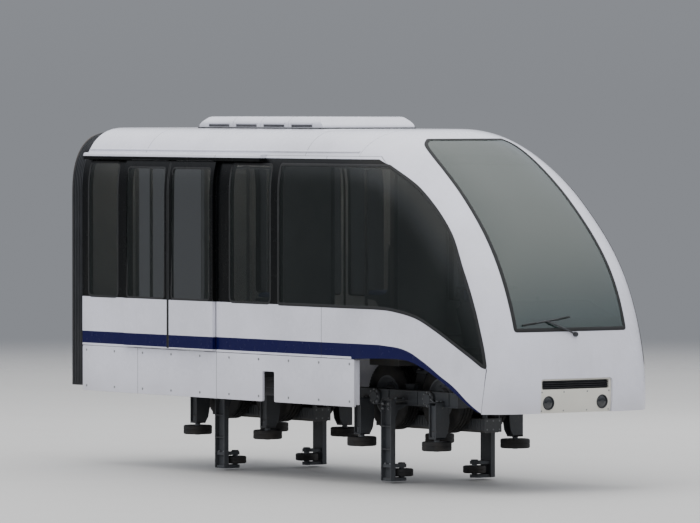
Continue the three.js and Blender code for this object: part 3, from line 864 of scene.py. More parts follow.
def mounted(piece: Object, finishes: Sequence[Finish], node: str = "",
            body: str = CAR) -> None:
    """Dresses a finished piece and makes it part of the car. Each face keeps its material slot.

    Args:
        piece: the finished object.
        finishes: the finishes of its material slots, in order.
        node: the CAD node that it stands for, if any.
        body: the CAD body that it moves with.
    """
    faces = piece.data.polygons
    kinds = np.minimum(floats(faces, "material_index"), len(finishes) - 1).astype(np.int32)
    piece.data.materials.clear()
    for finish in finishes:
        piece.data.materials.append(finish.material())
    faces.foreach_set("material_index", kinds)
    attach(piece, body)
    if node:
        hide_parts(node)
    LOG.info("%s: %d faces on %s", piece.name, len(faces), body)


def spaced(low: float, high: float, pitch: float) -> list[float]:
    """Evenly spaced values from low to high, about a pitch apart."""
    count = max(1, round((high - low) / pitch))
    return [low + (high - low) * i / count for i in range(count + 1)]


def spline(points: Outline, steps: int = 8) -> Outline:
    """Draws a smooth line through points.

    Args:
        points: the points in order.
        steps: how many pieces each stretch gets.

    Returns:
        The line's points.
    """
    ends = [points[0], *points, points[-1]]
    line: Outline = []
    for i in range(1, len(ends) - 2):
        p0, p1, p2, p3 = (np.array(p) for p in ends[i - 1:i + 3])
        v0, v1 = (p2 - p0) / 2, (p3 - p1) / 2
        for t in (step / steps for step in range(steps)):
            bend = (2 * p1 - 2 * p2 + v0 + v1) * t**3 + (-3 * p1 + 3 * p2 - 2 * v0 - v1) * t**2
            line.append(tuple(float(v) for v in bend + v0 * t + p1))
    return line + [tuple(points[-1])]


def rectangle(low: Point, high: Point) -> Outline:
    """A rectangle's four corners, counter-clockwise."""
    return [(low[0], low[1]), (high[0], low[1]), (high[0], high[1]), (low[0], high[1])]


def rounded_rectangle(low: Point, high: Point, radius: float, steps: int = 6) -> Outline:
    """Draws a rectangle with round corners, counter-clockwise.

    Args:
        low: its lower left corner.
        high: its upper right corner.
        radius: its corners' radius.
        steps: how many pieces a corner gets.

    Returns:
        The outline.
    """
    inner = rectangle([v + radius for v in low], [v - radius for v in high])
    made: Outline = []
    for x, y, start in ((*inner[1], -90), (*inner[2], 0), (*inner[3], 90), (*inner[0], 180)):
        for step in range(steps + 1):
            turn = math.radians(start + 90 * step / steps)
            made.append((x + radius * math.cos(turn), y + radius * math.sin(turn)))
    return made


def softened(outline: Outline, radius: float, steps: int = 4) -> Outline:
    """Rounds an outline's sharp corners.

    Args:
        outline: the closed outline.
        radius: how far from a corner its round starts.
        steps: how many pieces a corner gets.

    Returns:
        The outline with round corners.
    """
    made: Outline = []
    for i, at in enumerate(outline):
        here = Vector(at)
        back, on = Vector(outline[i - 1]) - here, Vector(outline[(i + 1) % len(outline)]) - here
        if back.angle(on) > math.radians(165):
            made.append(at)
            continue
        reach = min(radius, back.length * 0.45, on.length * 0.45)
        a, b = here + back.normalized() * reach, here + on.normalized() * reach
        for t in (step / steps for step in range(steps + 1)):
            made.append(tuple(a * (1 - t) ** 2 + here * 2 * t * (1 - t) + b * t * t))
    return made


def shrunk(outline: Outline, gap: float) -> Outline:
    """Moves a closed outline inwards.

    Args:
        outline: the outline.
        gap: how far each side moves, below 0 for outwards.

    Returns:
        The moved outline.
    """
    points = [Vector(p) for p in outline]
    pairs = list(zip(points, points[1:] + points[:1]))
    turn = math.copysign(1.0, sum(a.x * b.y - b.x * a.y for a, b in pairs))
    made: Outline = []
    for i, (here, after) in enumerate(pairs):
        ways = (here - points[i - 1], after - here)
        both = sum((Vector((-turn * w.y, turn * w.x)).normalized() for w in ways), Vector((0, 0)))
        made.append(tuple(here + both * (gap / max(0.5, both.length_squared / 2))))
    return made


def divided(outline: Outline, pitch: float) -> Outline:
    """Divides a closed outline's long sides.

    Args:
        outline: the outline.
        pitch: about how far apart the points are.

    Returns:
        The outline with more points.
    """
    made: Outline = []
    for a, b in zip(outline, outline[1:] + outline[:1]):
        steps = max(1, round(math.dist(a, b) / pitch))
        made += [tuple(p + (q - p) * k / steps for p, q in zip(a, b)) for k in range(steps)]
    return made


@dataclass
class Sketch:
    """Closed shapes gathered as vertices and faces, and made into one piece at the end.

    Shapes are moved ahead along X, and a flip of -1 mirrors them from the car's left to its right.
    """

    flip: int = 1
    ahead: float = 0.0
    points: list[Vector] = field(default_factory=list)
    faces: list[tuple[int, ...]] = field(default_factory=list)
    slots: list[int] = field(default_factory=list)

    def add(self, points: Iterable[Point], faces: Iterable[Sequence[int]], slot: int = 0) -> None:
        """Adds a shape.

        Args:
            points: its vertices.
            faces: its faces, as places among its own vertices.
            slot: the faces' material slot.
        """
        base = len(self.points)
        self.points += [Vector((p[0] + self.ahead, p[1] * self.flip, p[2])) for p in points]
        self.faces += [tuple(base + i for i in face) for face in faces]
        self.slots += [slot] * (len(self.faces) - len(self.slots))

    def loft(self, rings: Sequence[Sequence[Point]], slot: int = 0, closed: bool = False) -> None:
        """Joins rings of the same number of points, and caps the two ends.

        Args:
            rings: the rings in order.
            slot: the faces' material slot.
            closed: True where the last ring joins the first, so nothing is capped.
        """
        count, rows = len(rings[0]), len(rings)
        faces: list[tuple[int, ...]] = []
        for row in range(rows if closed else rows - 1):
            low, high = row * count, (row + 1) % rows * count
            for i, j in ((i, (i + 1) % count) for i in range(count)):
                faces.append((low + i, low + j, high + j, high + i))
        if not closed:
            faces += [tuple(reversed(range(count))), tuple(range((rows - 1) * count, rows * count))]
        self.add([p for ring in rings for p in ring], faces, slot)

    def prism(self, outline: Outline, low: float, high: float, axis: str, slot: int = 0) -> None:
        """Makes a (y, z), (x, z) or (x, y) outline solid between two places along X, Y or Z."""
        place = "XYZ".index(axis)
        self.loft([[(*p[:place], at, *p[place:]) for p in outline] for at in sorted((low, high))], slot)

    def block(self, one: Point, other: Point, edge: float = 0.006, slot: int = 0) -> None:
        """Adds a box with rounded edges.

        Args:
            one: one of its corners.
            other: the corner opposite.
            edge: how wide its edges are rounded.
            slot: its material slot.
        """
        low, high = ([pick(pair) for pair in zip(one, other)] for pick in (min, max))
        size = [h - l for l, h in zip(low, high)]
        work = bmesh.new()
        bmesh.ops.create_cube(work, size=1.0)
        for vert in work.verts:
            vert.co = Vector(l + (c + 0.5) * s for l, c, s in zip(low, vert.co, size))
        bmesh.ops.bevel(work, geom=work.edges[:], offset=min(edge, min(size) * 0.4), segments=2,
                        profile=0.6, affect="EDGES")
        self.take(work, slot)

    def take(self, work: bmesh.types.BMesh, slot: int = 0) -> None:
        """Adds an open mesh and frees it.

        Args:
            work: the mesh.
            slot: its material slot.
        """
        work.verts.index_update()
        faces = [[v.index for v in f.verts] for f in work.faces]
        self.add([v.co.copy() for v in work.verts], faces, slot)
        work.free()

    def pipe(self, path: Sequence[Point], radius: float, sides: int = 12, slot: int = 0,
             closed: bool = False) -> None:
        """Adds a round bar along a path.

        Args:
            path: the points of its middle line.
            radius: its radius.
            sides: the number of facets round it.
            slot: its material slot.
            closed: True where its end joins its start.
        """
        line = [Vector(p) for p in path]
        rings: list[list[Vector]] = []
        normal: Vector | None = None
        for i, at in enumerate(line):
            ahead = line[(i + 1) % len(line)] if closed or i + 1 < len(line) else at
            behind = line[i - 1] if closed or i > 0 else at
            along = (ahead - behind).normalized()
            if normal is None:
                seed = Vector((0, 0, 1)) if abs(along.z) < 0.9 else Vector((1, 0, 0))
                normal = along.cross(seed).normalized()
            normal = (normal - along * normal.dot(along)).normalized()
            across = along.cross(normal)
            turns = [2 * math.pi * k / sides for k in range(sides)]
            rings.append([at + (normal * math.cos(a) + across * math.sin(a)) * radius for a in turns])
        self.loft(rings, slot, closed)

    def turned(self, profile: Outline, centre: Point, axis: str, sides: int = 48, slot: int = 0,
               hollow: bool = False) -> None:
        """Adds a turned solid.

        Args:
            profile: (radius, distance along the axis) points, from the axis and back to it, or
                a closed loop clear of the axis for a hollow one.
            centre: the point that distances along the axis count from.
            axis: X, Y or Z.
            sides: the number of facets round it.
            slot: its material slot.
            hollow: True for a closed loop.
        """
        place = "XYZ".index(axis)
        u, v, w = (Vector(np.eye(3)[(place + k) % 3]) for k in (1, 2, 0))
        inner = profile if hollow else [p for p in profile if p[0] > 0]
        count = len(inner)
        points, faces = [], []
        for k in range(sides):
            turn = 2 * math.pi * k / sides
            out = u * math.cos(turn) + v * math.sin(turn)
            points += [Vector(centre) + out * r + w * h for r, h in inner]
            here, there = k * count, (k + 1) % sides * count
            for i, j in ((i, (i + 1) % count) for i in range(count if hollow else count - 1)):
                faces.append((here + i, there + i, there + j, here + j))
        if not hollow:
            foot = range(0, sides * count, count)
            faces += [tuple(foot), tuple(k + count - 1 for k in reversed(foot))]
        self.add(points, faces, slot)

    def mesh(self, name: str) -> Mesh:
        """Makes the shapes one mesh, its doubles merged and its faces turned outwards.

        Args:
            name: the mesh's name.

        Returns:
            The mesh.
        """
        mesh = bpy.data.meshes.new(name)
        mesh.from_pydata([tuple(p) for p in self.points], [], self.faces)
        mesh.polygons.foreach_set("material_index", self.slots)
        with reworked(mesh) as work:
            bmesh.ops.remove_doubles(work, verts=work.verts, dist=1e-6)
            bmesh.ops.recalc_face_normals(work, faces=work.faces)
        return mesh

    def fit(self, name: str, slot: Slot, *finishes: Finish, node: str = "", body: str = CAR,
            edge: float = 0.0, angle: float = 35.0) -> None:
        """Makes the piece, shades it and mounts it.

        Args:
            name: the piece's name.
            slot: the record's material slot.
            finishes: one finish for each material slot.
            node: the CAD node that it stands for, if any.
            body: the CAD body that it moves with.
            edge: how wide its sharp edges are rounded, or 0.
            angle: edges that turn by more than this many degrees stay crisp.
        """
        made = link(self.mesh(name), name)
        made = bevelled(made, edge, angle) if edge else crease(made, angle)
        mounted(made, finishes, node, body)


class Cut(Enum):
    """What a boolean keeps of a piece."""

    AWAY = "DIFFERENCE"
    WITHIN = "INTERSECT"


def carve(piece: Object, tool: Object, cut: Cut) -> Object:
    """Cuts a piece with a tool, which is used up.

    Args:
        piece: the object that is cut.
        tool: the object that cuts.
        cut: what stays of the piece.

    Returns:
        The piece.
    """
    step = piece.modifiers.new("cut", "BOOLEAN")
    step.operation, step.object, step.solver = cut.value, tool, "MANIFOLD"
    baked(piece)
    bpy.data.meshes.remove(tool.data)
    return piece


def prism_tool(outline: Outline, low: float, high: float, axis: str) -> Object:
    """Makes a cutting tool of an outline.

    Args:
        outline: the outline, as Sketch.prism takes it.
        low: one end's distance.
        high: the other's.
        axis: X, Y or Z.

    Returns:
        The tool.
    """
    sketch = Sketch()
    sketch.prism(outline, low, high, axis)
    mesh = sketch.mesh("tool")
    with reworked(mesh) as work:
        bmesh.ops.triangulate(work, faces=work.faces, ngon_method="EAR_CLIP")
    return link(mesh, "tool")


def box_tool(low: Point, high: Point) -> Object:
    """A box as a cutting tool."""
    return prism_tool(rectangle(low, high), low[2], high[2], "Z")


# What repeats


class Fitting(Enum):
    """The small shapes that Geometry Nodes repeat."""

    BOLT = "bolt"
    RIVET = "rivet"
    SLAT = "slat"
    LOZENGE = "lozenge"
    LUG = "lug"


@dataclass(frozen=True)
class Spot:
    """Where one copy stands: its foot, the way it points and the way its width runs."""

    at: Point
    aim: Point = (0.0, 0.0, 1.0)
    along: Point = (1.0, 0.0, 0.0)


def circle(centre: Point, aim: Point, radius: float, count: int) -> list[Spot]:
    """Lays spots evenly round a circle, all pointing along its axis.

    Args:
        centre: its centre.
        aim: its axis.
        radius: its radius.
        count: how many spots it gets.

    Returns:
        The spots.
    """
    w = Vector(aim).normalized()
    u = w.orthogonal().normalized()
    turns = [2 * math.pi * k / count for k in range(count)]
    return [Spot(Vector(centre) + (u * math.cos(t) + w.cross(u) * math.sin(t)) * radius, w, u)
            for t in turns]


@dataclass
class Repeater:
    """A Geometry Nodes tree that sets one small shape on many spots."""

    fitting: Fitting
    seed: int = 7
    _tree: bpy.types.NodeTree | None = None

    def _shape(self, graph: Graph, width: Wire, depth: Wire, height: Wire) -> Wire:
        """Adds the shape that is repeated, its foot at the origin.

        Args:
            graph: the tree.
            width: the shape's width.
            depth: its depth.
            height: its height.

        Returns:
            The shape.
        """
        def moved(shape: Wire, **change: Any) -> Wire:
            """The shape after a Transform Geometry node."""
            return graph.node("GeometryNodeTransform", inputs={"Geometry": shape, **change})

        def drum(sides: int, radius: Wire, tall: Wire, top: float) -> Wire:
            """A short drum on its foot, its top's radius a share of its foot's."""
            return graph.node("GeometryNodeMeshCone", {"fill_type": "NGON"}, {
                "Vertices": sides, "Radius Top": radius * top, "Radius Bottom": radius, "Depth": tall})

        def vector(**parts: Number) -> Wire:
            """A vector of its named parts, the others 0."""
            return graph.node("ShaderNodeCombineXYZ", inputs=parts)

        if self.fitting is Fitting.BOLT:
            washer = drum(14, width * 0.72, height * 0.3, 1.0)
            head = moved(drum(6, width * 0.56, height * 0.7, 0.93), Translation=vector(Z=height * 0.3))
            return graph.node("GeometryNodeJoinGeometry", inputs={0: [washer, head]})
        if self.fitting is Fitting.RIVET:
            return drum(10, width * 0.5, height, 0.62)
        if self.fitting is Fitting.LOZENGE:
            return moved(drum(4, width * 0.5, height, 0.7), Scale=(1.0, 0.34, 1.0))
        sizes = {"Size": vector(X=width, Y=depth, Z=height)}
        bar = moved(graph.node("GeometryNodeMeshCube", inputs=sizes), Translation=vector(Z=height * 0.5))
        tilt = (math.radians(28), 0.0, 0.0)
        return bar if self.fitting is Fitting.LUG else moved(bar, Rotation=tilt)

    def _grow(self) -> bpy.types.NodeTree:
        """Builds the tree: a shape on each point, turned by the point's two directions.

        Returns:
            The tree.
        """
        tree = bpy.data.node_groups.new(f"repeat_{self.fitting.value}", "GeometryNodeTree")
        sizes = ("Width", "Depth", "Height", "Spin")
        numbers = ((name, "Float", "INPUT") for name in sizes)
        for name, kind, way in (("Geometry", "Geometry", "INPUT"), *numbers,
                                ("Material", "Material", "INPUT"), ("Geometry", "Geometry", "OUTPUT")):
            tree.interface.new_socket(name, in_out=way, socket_type=f"NodeSocket{kind}")
        graph = Graph(tree)
        points, width, depth, height, spin, material = (
            graph.node("NodeGroupInput", output=name) for name in ("Geometry", *sizes, "Material"))

        def aligned(name: str, axis: str, pivot: str, **before: Wire) -> Wire:
            """Turns the copies until an axis lies along a direction of their points.

            Args:
                name: the direction's attribute.
                axis: the axis.
                pivot: the axis that they turn about.
                before: the turn that comes first, if any.

            Returns:
                The turn.
            """
            way = graph.node("GeometryNodeInputNamedAttribute", {"data_type": "FLOAT_VECTOR"},
                             {"Name": name})
            return graph.node("FunctionNodeAlignRotationToVector",
                              {"axis": axis, "pivot_axis": pivot}, {"Vector": way, **before})

        turn = aligned("along", "X", "Z", Rotation=aligned("aim", "Z", "AUTO"))
        chance = graph.node("FunctionNodeRandomValue", {"data_type": "FLOAT"},
                            {"Seed": self.seed, 3: spin}, 1)
        twist = graph.node("FunctionNodeAxisAngleToRotation",
                           inputs={"Axis": (0.0, 0.0, 1.0), "Angle": chance})
        turn = graph.node("FunctionNodeRotateRotation", {"rotation_space": "LOCAL"}, {0: turn, 1: twist})
        copies = graph.node("GeometryNodeInstanceOnPoints", inputs={
            "Points": points, "Instance": self._shape(graph, width, depth, height), "Rotation": turn})
        real = graph.node("GeometryNodeRealizeInstances", inputs={0: copies})
        made = graph.node("GeometryNodeSetMaterial", inputs={"Geometry": real, "Material": material})
        graph.feed(tree.nodes.new("NodeGroupOutput").inputs[0], made)
        return tree

    def fit(self, name: str, slot: Slot, spots: Sequence[Spot], size: Point, finish: Finish,
            spin: float = 0.0, body: str = CAR) -> None:
        """Sets the shape on spots and mounts the copies as one plain mesh.

        Args:
            name: the piece's name.
            slot: the record's material slot.
            spots: where the copies stand.
            size: a copy's width, depth and height.
            finish: the copies' finish.
            spin: the most that a copy is turned about the way it points, in radians.
            body: the CAD body that they move with.
        """
        self._tree = self._tree or self._grow()
        mesh = bpy.data.meshes.new(name)
        mesh.from_pydata([tuple(s.at) for s in spots], [], [])
        for key in ("aim", "along"):
            held = mesh.attributes.new(key, "FLOAT_VECTOR", "POINT")
            held.data.foreach_set("vector", [c for s in spots for c in getattr(s, key)])
        made = link(mesh, name)
        step = made.modifiers.new("copies", "NODES")
        step.node_group = self._tree
        values = dict(zip(("Width", "Depth", "Height"), size), Spin=spin, Material=finish.material())
        for item in self._tree.interface.items_tree:
            if item.in_out == "INPUT" and item.name in values:
                step[item.identifier] = values[item.name]
        baked(made)
        for held in [made.data.attributes.get(key) for key in ("aim", "along")]:
            if held:
                made.data.attributes.remove(held)
        mounted(crease(made, 35.0), [finish], body=body)


BOLTS = Repeater(Fitting.BOLT)
RIVETS = Repeater(Fitting.RIVET)
SLATS = Repeater(Fitting.SLAT)
LOZENGES = Repeater(Fitting.LOZENGE)
LUGS = Repeater(Fitting.LUG)


# The body's surface


@dataclass
class BodySurface:
    """The car body's outer surface: a superellipse in plan at each height."""

    rear: float = -3.48
    bottom: float = 0.28
    top: float = 3.16
    turn: float = 2.4
    half: float = 1.15
    flat: float = 0.55
    squareness: float = 2.6
    levels: tuple[tuple[float, float, float, float], ...] = (
        (0.28, 3.88, 1.0, 4.8), (0.42, 3.892, 1.0, 4.7), (0.75, 3.88, 1.0, 4.4),
        (0.94, 3.853, 1.0, 4.25), (1.12, 3.813, 1.0, 4.15), (1.31, 3.759, 1.03, 4.1),
        (1.55, 3.66, 1.08, 4.0), (1.8, 3.515, 1.13, 3.85), (2.12, 3.275, 1.2, 3.65),
        (2.4, 2.985, 1.31, 3.6), (2.6, 2.735, 1.4, 3.5), (2.77, 2.515, 1.44, 3.35),
        (2.86, 2.39, 1.46, 3.25), (2.97, 2.225, 1.5, 3.1), (3.05, 2.07, 1.53, 2.95),
        (3.12, 1.88, 1.56, 2.85), (3.16, 1.62, 1.6, 2.75))

    def __post_init__(self) -> None:
        """Fits a smooth curve through the levels' foremost X, depth and squareness."""
        z, *rows = np.array(self.levels).T
        self._curves = [Polynomial.fit(self._code(z), row, n) for row, n in zip(rows, (7, 4, 4))]

    def _rise(self, z: Any) -> Any:
        """How far up the roof's turn a height is, from 0 to 1."""
        return np.clip((z - self.turn) / (self.top - self.turn), 0, 1)

    def _code(self, z: Any) -> Any:
        """A measure of height that runs on evenly where the roof turns level."""
        return z + 0.35 * (1 - np.sqrt(1 - self._rise(z) ** 2))

    def heights(self, low_steps: int, high_steps: int) -> np.ndarray:
        """Heights from the bottom to the top, closer together where the roof turns level.

        Args:
            low_steps: how many steps the straight side gets.
            high_steps: how many the roof's turn gets.

        Returns:
            The heights.
        """
        low = np.linspace(self.bottom, self.turn, low_steps + 1)
        turns = np.linspace(0, math.pi / 2, high_steps + 1)[1:]
        rise = np.sin(turns) ** (2 / self.squareness)
        return np.concatenate([low, self.turn + (self.top - self.turn) * rise])

    def half_at(self, z: Any) -> Any:
        """Half the body's width at a height."""
        share = (1 - self._rise(z) ** self.squareness) ** (1 / self.squareness)
        return self.flat + (self.half - self.flat) * share

    def _plan_at(self, z: Any) -> tuple[Any, Any, Any]:
        """The foremost X, the front's depth and its squareness at a height."""
        return tuple(curve(self._code(z)) for curve in self._curves)

    def beyond(self, points: np.ndarray) -> np.ndarray:
        """Tells points inside the body in plan from points outside.

        Args:
            points: the points.

        Returns:
            Below 0 for each one inside, above 0 for each one outside.
        """
        z = np.clip(points[:, 2], self.bottom, self.top - 1e-6)
        tip, depth, square = self._plan_at(z)
        ahead = np.clip((points[:, 0] - tip + depth) / depth, 0, None)
        return (np.abs(points[:, 1]) / self.half_at(z)) ** square + ahead**square - 1

    def normals(self, points: np.ndarray) -> np.ndarray:
        """The surface's outward directions.

        Args:
            points: points on or near the surface.

        Returns:
            A direction for each point.
        """
        step = 2e-4
        slope = np.stack([self.beyond(points + move) - self.beyond(points - move)
                          for move in np.eye(3) * step], 1)
        slope[points[:, 2] > self.top - step] = (0, 0, 1)
        slope[points[:, 0] < self.rear + step / 2, 0] = 0
        return slope / np.maximum(np.linalg.norm(slope, axis=1, keepdims=True), 1e-12)

    def side(self, x: float, z: float) -> float:
        """The surface's distance from the centre plane at a point of the side view.

        Args:
            x: the point's X.
            z: its height.

        Returns:
            The distance.
        """
        tip, depth, square = self._plan_at(z)
        ahead = min(1.0, max(0.0, (x - tip + depth) / depth))
        return float(self.half_at(z) * (1 - ahead**square) ** (1 / square))

    def nose(self, y: float, z: float) -> float:
        """The foremost X of the surface at a point of the front view.

        Args:
            y: the point's Y.
            z: its height.

        Returns:
            The X.
        """
        tip, depth, square = self._plan_at(z)
        share = min(1.0, abs(y) / self.half_at(z))
        return float(tip - depth + depth * (1 - share**square) ** (1 / square))

    def roof(self, x: float, y: float) -> float:
        """The roof's height at a point seen from above.

        Args:
            x: the point's X.
            y: its Y.

        Returns:
            The height.
        """
        low, high = self.turn, self.top
        for _ in range(40):
            middle = (low + high) / 2
            if self.beyond(np.array([[x, y, middle]]))[0] < 0:
                low = middle
            else:
                high = middle
        return low

    def solid(self, inset: float, overrun: float = 0.1) -> Object:
        """The body moved inwards along its surface, as a cutting tool or blank.

        Args:
            inset: how far the surface moves in.
            overrun: how far an inset body runs on past the rear end and the bottom.

        Returns:
            The solid's object.
        """
        turns = np.linspace(-math.pi / 2, math.pi / 2, 91)
        rings = []
        for z in self.heights(44, 34):
            tip, depth, square = self._plan_at(z)
            half = self.half_at(z)
            x = tip - depth + depth * np.clip(np.cos(turns), 0, 1) ** (2 / square)
            y = half * np.sign(turns) * np.abs(np.sin(turns)) ** (2 / square)
            ring = np.stack([np.pad(x, 1, constant_values=self.rear),
                             np.pad(y, 1, constant_values=(-half, half)), np.full(93, z)], 1)
            rings.append(ring - self.normals(ring) * inset)
        if inset > 0:
            for ring in rings:
                ring[[0, -1], 0] -= overrun
            rings.insert(0, rings[0] - (0, 0, overrun))
        sketch = Sketch()
        sketch.loft(rings)
        return link(sketch.mesh("body"), "body")

    def shell(self, near: float, far: float) -> Object:
        """The skin between two depths under the surface."""
        return carve(self.solid(near, 0.02 if near > 0 else 0.0), self.solid(far), Cut.AWAY)

    def polish(self, piece: Object) -> Object:
        """Sorts a cut skin's faces into outer, inner and edge slots, and shades it smooth.

        Args:
            piece: a piece cut out of the skin.

        Returns:
            The piece, its slots 0 outside, 1 inside and 2 round the cuts.
        """
        mesh = piece.data
        with reworked(mesh) as work:
            bmesh.ops.remove_doubles(work, verts=work.verts, dist=2e-6)
        centres, facing = (floats(mesh.polygons, key, 3) for key in ("center", "normal"))
        lean = (self.normals(centres) * facing).sum(1)
        kind = np.where(lean > 0.86, 0, np.where(lean < -0.86, 1, 2))
        mesh.polygons.foreach_set("material_index", kind.astype(np.int32))
        mesh.polygons.foreach_set("use_smooth", np.ones(len(kind), bool))
        face_of = np.repeat(np.arange(len(kind)), floats(mesh.polygons, "loop_total").astype(int))
        corner_of = floats(mesh.loops, "vertex_index").astype(int)
        field_of = self.normals(floats(mesh.vertices, "co", 3))[corner_of]
        field_of[kind[face_of] == 1] *= -1
        edge = kind[face_of] == 2
        field_of[edge] = facing[face_of[edge]]
        mesh.normals_split_custom_set([tuple(v) for v in field_of])
        return piece


BODY = BodySurface()


# Tools through the body


def across(side: Side, outline: Outline, start: float = 0.3) -> Object:
    """A side-view outline as a tool that reaches from start out through one side."""
    return prism_tool(outline, side.value * start, side.value * 1.3, "Y")


def frontal(outline: Outline, start: float = 3.6) -> Object:
    """A front-view outline as a tool that reaches from start out through the front."""
    return prism_tool(outline, start, 4.0, "X")


def cut_skin(skin: Object, name: str, tool: Object, holes: Iterable[Object] = ()) -> Object:
    """Cuts a piece out of the body's skin and shades it.

    Args:
        skin: the skin, which stays whole.
        name: the piece's name.
        tool: what the piece lies within.
        holes: the tools that cut its openings.

    Returns:
        The piece.
    """
    piece = carve(link(skin.data.copy(), name), tool, Cut.WITHIN)
    for hole in holes:
        carve(piece, hole, Cut.AWAY)
    return BODY.polish(piece)


def upright(rows: Iterable[tuple[float, Outline]]) -> list[list[Point]]:
    """Front-view outlines set up at their Xs, as rings for a loft."""
    return [[(x, *point) for point in outline] for x, outline in rows]


def dress_node(node: str, finish: Finish) -> None:
    """Puts a finish on a CAD node that stays visible."""
    for slot in frame["nodes"][node].material_slots:
        slot.material = finish.material()


# The body


@dataclass
class Skin:
    """The body's skin: side walls, skirts, roof and nose moulding."""

    wall: float = 0.06
    outer: float = 1.15
    skirt_wall: float = 0.03
    skirt_foot: float = 0.28
    skirt_top: float = 0.78
    belt: float = 1.315
    window_top: float = 2.79
    cant: float = 2.88
    rain_rail: float = 2.925
    cut_rear: float = -3.49
    arch_rear: float = 1.6
    nose_joint: float = 1.55
    door: tuple[float, float, float, float] = (-2.58, 0.95, -0.94, 2.79)
    notch: tuple[float, float, float] = (-0.05, 0.165, 0.6)
    fascia: tuple[float, float] = (0.46, 0.63)
    gap: float = 0.003
    pillar: Outline = field(default_factory=lambda: spline([
        (1.952, 2.822), (2.514, 2.555), (3.021, 2.137), (3.319, 1.72), (3.509, 1.36),
        (3.643, 0.99), (3.706, 0.722)]))
    drop: Outline = field(default_factory=lambda: spline([
        (1.95, 1.315), (2.26, 1.303), (2.664, 1.242), (3.002, 1.124), (3.317, 0.983), (3.542, 0.858),
        (3.69, 0.745)]))
    arch: Outline = field(default_factory=lambda: spline([
        (1.6, 0.78), (2.1, 0.8), (2.495, 0.795), (2.782, 0.728), (3.083, 0.612),
        (3.325, 0.492), (3.526, 0.368), (3.64, 0.3)]))
    foot: tuple[tuple[float, float], ...] = ((3.695, 0.52), (3.672, 0.292))
    screen_edge: tuple[tuple[float, float], ...] = (
        (1.12, 0.708), (1.5, 0.71), (1.8, 0.702), (2.16, 0.68), (2.47, 0.662), (2.72, 0.644),
        (2.89, 0.62), (3.0, 0.575), (3.06, 0.48))

    def screen_outline(self) -> Outline:
        """The windscreen's outline in front view, as (y, z)."""
        right = spline([(-half, z) for z, half in self.screen_edge], 5)
        return softened(right + [(-y, z) for y, z in reversed(right)], 0.05)

    def cab_outline(self, past: float = 0.0) -> Outline:
        """The cab window's outline in side view.

        Args:
            past: how far its front edge runs on.

        Returns:
            The outline.
        """
        foot = (3.69 + past, 0.738) if past else (3.694, 0.752)
        front = [(x + past, z) for x, z in reversed(self.pillar[2:-1]) if z > foot[1]]
        return [(0.24, self.belt), *self.drop[:-2], foot, *front,
                (2.025 + past, self.window_top), (0.24, self.window_top)]

    def window_outlines(self) -> dict[str, Outline]:
        """Draws the side windows.

        Returns:
            Each window's outline in side view.
        """
        spans = {"quarter_window": (-3.36, -2.78), "saloon_window": (-0.66, 0.1)}
        plain = {name: rounded_rectangle((x0, self.belt), (x1, self.window_top), 0.06)
                 for name, (x0, x1) in spans.items()}
        return {**plain, "cab_window": self.cab_outline()}

    def walls(self, skin: Object, side: Side) -> None:
        """Cuts one side wall out of the skin.

        Args:
            skin: the skin.
            side: the wall's side.
        """
        top = self.cant - self.gap / 2
        outline = [(self.cut_rear, self.skirt_top), *self.arch, *reversed(self.foot),
                   *reversed([(x - self.gap, z) for x, z in self.pillar]), (1.85, top),
                   (self.cut_rear, top)]
        holes = [*self.window_outlines().values(), self.cab_outline(0.06),
                 rectangle(self.door[:2], self.door[2:])]
        wall = cut_skin(skin, f"wall_panel_{side.label}", across(side, outline),
                        (across(side, hole) for hole in holes))
        mounted(wall, (LIVERY, WALL_PANEL, SEAL), f"side_wall_{side.label}")

    def skirts(self, side: Side) -> None:
        """Builds one skirt with its notch, rolled front end and quarter-turn fasteners.

        Args:
            side: the skirt's side.
        """
        x0, x1, top = self.notch
        rear, low, high = -3.478, self.skirt_foot, self.skirt_top - 0.006
        outline = softened([(rear, low), (x0, low), (x0, top), (x1, top), (x1, low),
                            (self.arch_rear, low), (self.arch_rear, high), (rear, high)], 0.02)
        near = self.outer - self.skirt_wall
        sketch = Sketch(side.value)
        sketch.prism(outline, near, self.outer, "Y")
        sketch.block((self.arch_rear - 0.035, near - 0.05, 0.3), (self.arch_rear - 0.002, near, 0.77))
        sketch.fit(f"skirt_panel_{side.label}", Slot.WHITE, SKIRT_PAINT,
                   node=f"skirt_{side.label}", edge=0.004)
        spots = [Spot((x, side.value * (self.outer - 0.0005), z), (0, side.value, 0))
                 for z in (0.335, 0.725) for x in spaced(-3.4, self.arch_rear - 0.08, 0.55)
                 if not x0 - 0.05 < x < x1 + 0.05 or z > top]
        RIVETS.fit(f"skirt_fasteners_{side.label}", Slot.STEEL, spots, (0.03, 0.03, 0.0035), BOLT_METAL)

    def roof(self, skin: Object) -> None:
        """Cuts the roof out of the skin and builds its drip rails.

        Args:
            skin: the skin.
        """
        tool = box_tool((self.cut_rear, -1.3, self.cant + self.gap / 2),
                        (self.nose_joint - self.gap, 1.3, 3.3))
        mounted(cut_skin(skin, "roof_panel", tool), (ROOF_WHITE, CEILING, SEAL),
                "roof_shell")
        z = self.rain_rail
        for side in Side:
            sketch = Sketch(side.value)
            sketch.pipe([(x, BODY.side(x, z) + 0.004, z) for x in spaced(-3.46, 1.52, 0.25)], 0.011, 8)
            sketch.fit(f"drip_rail_{side.label}", Slot.WHITE, WHITE)

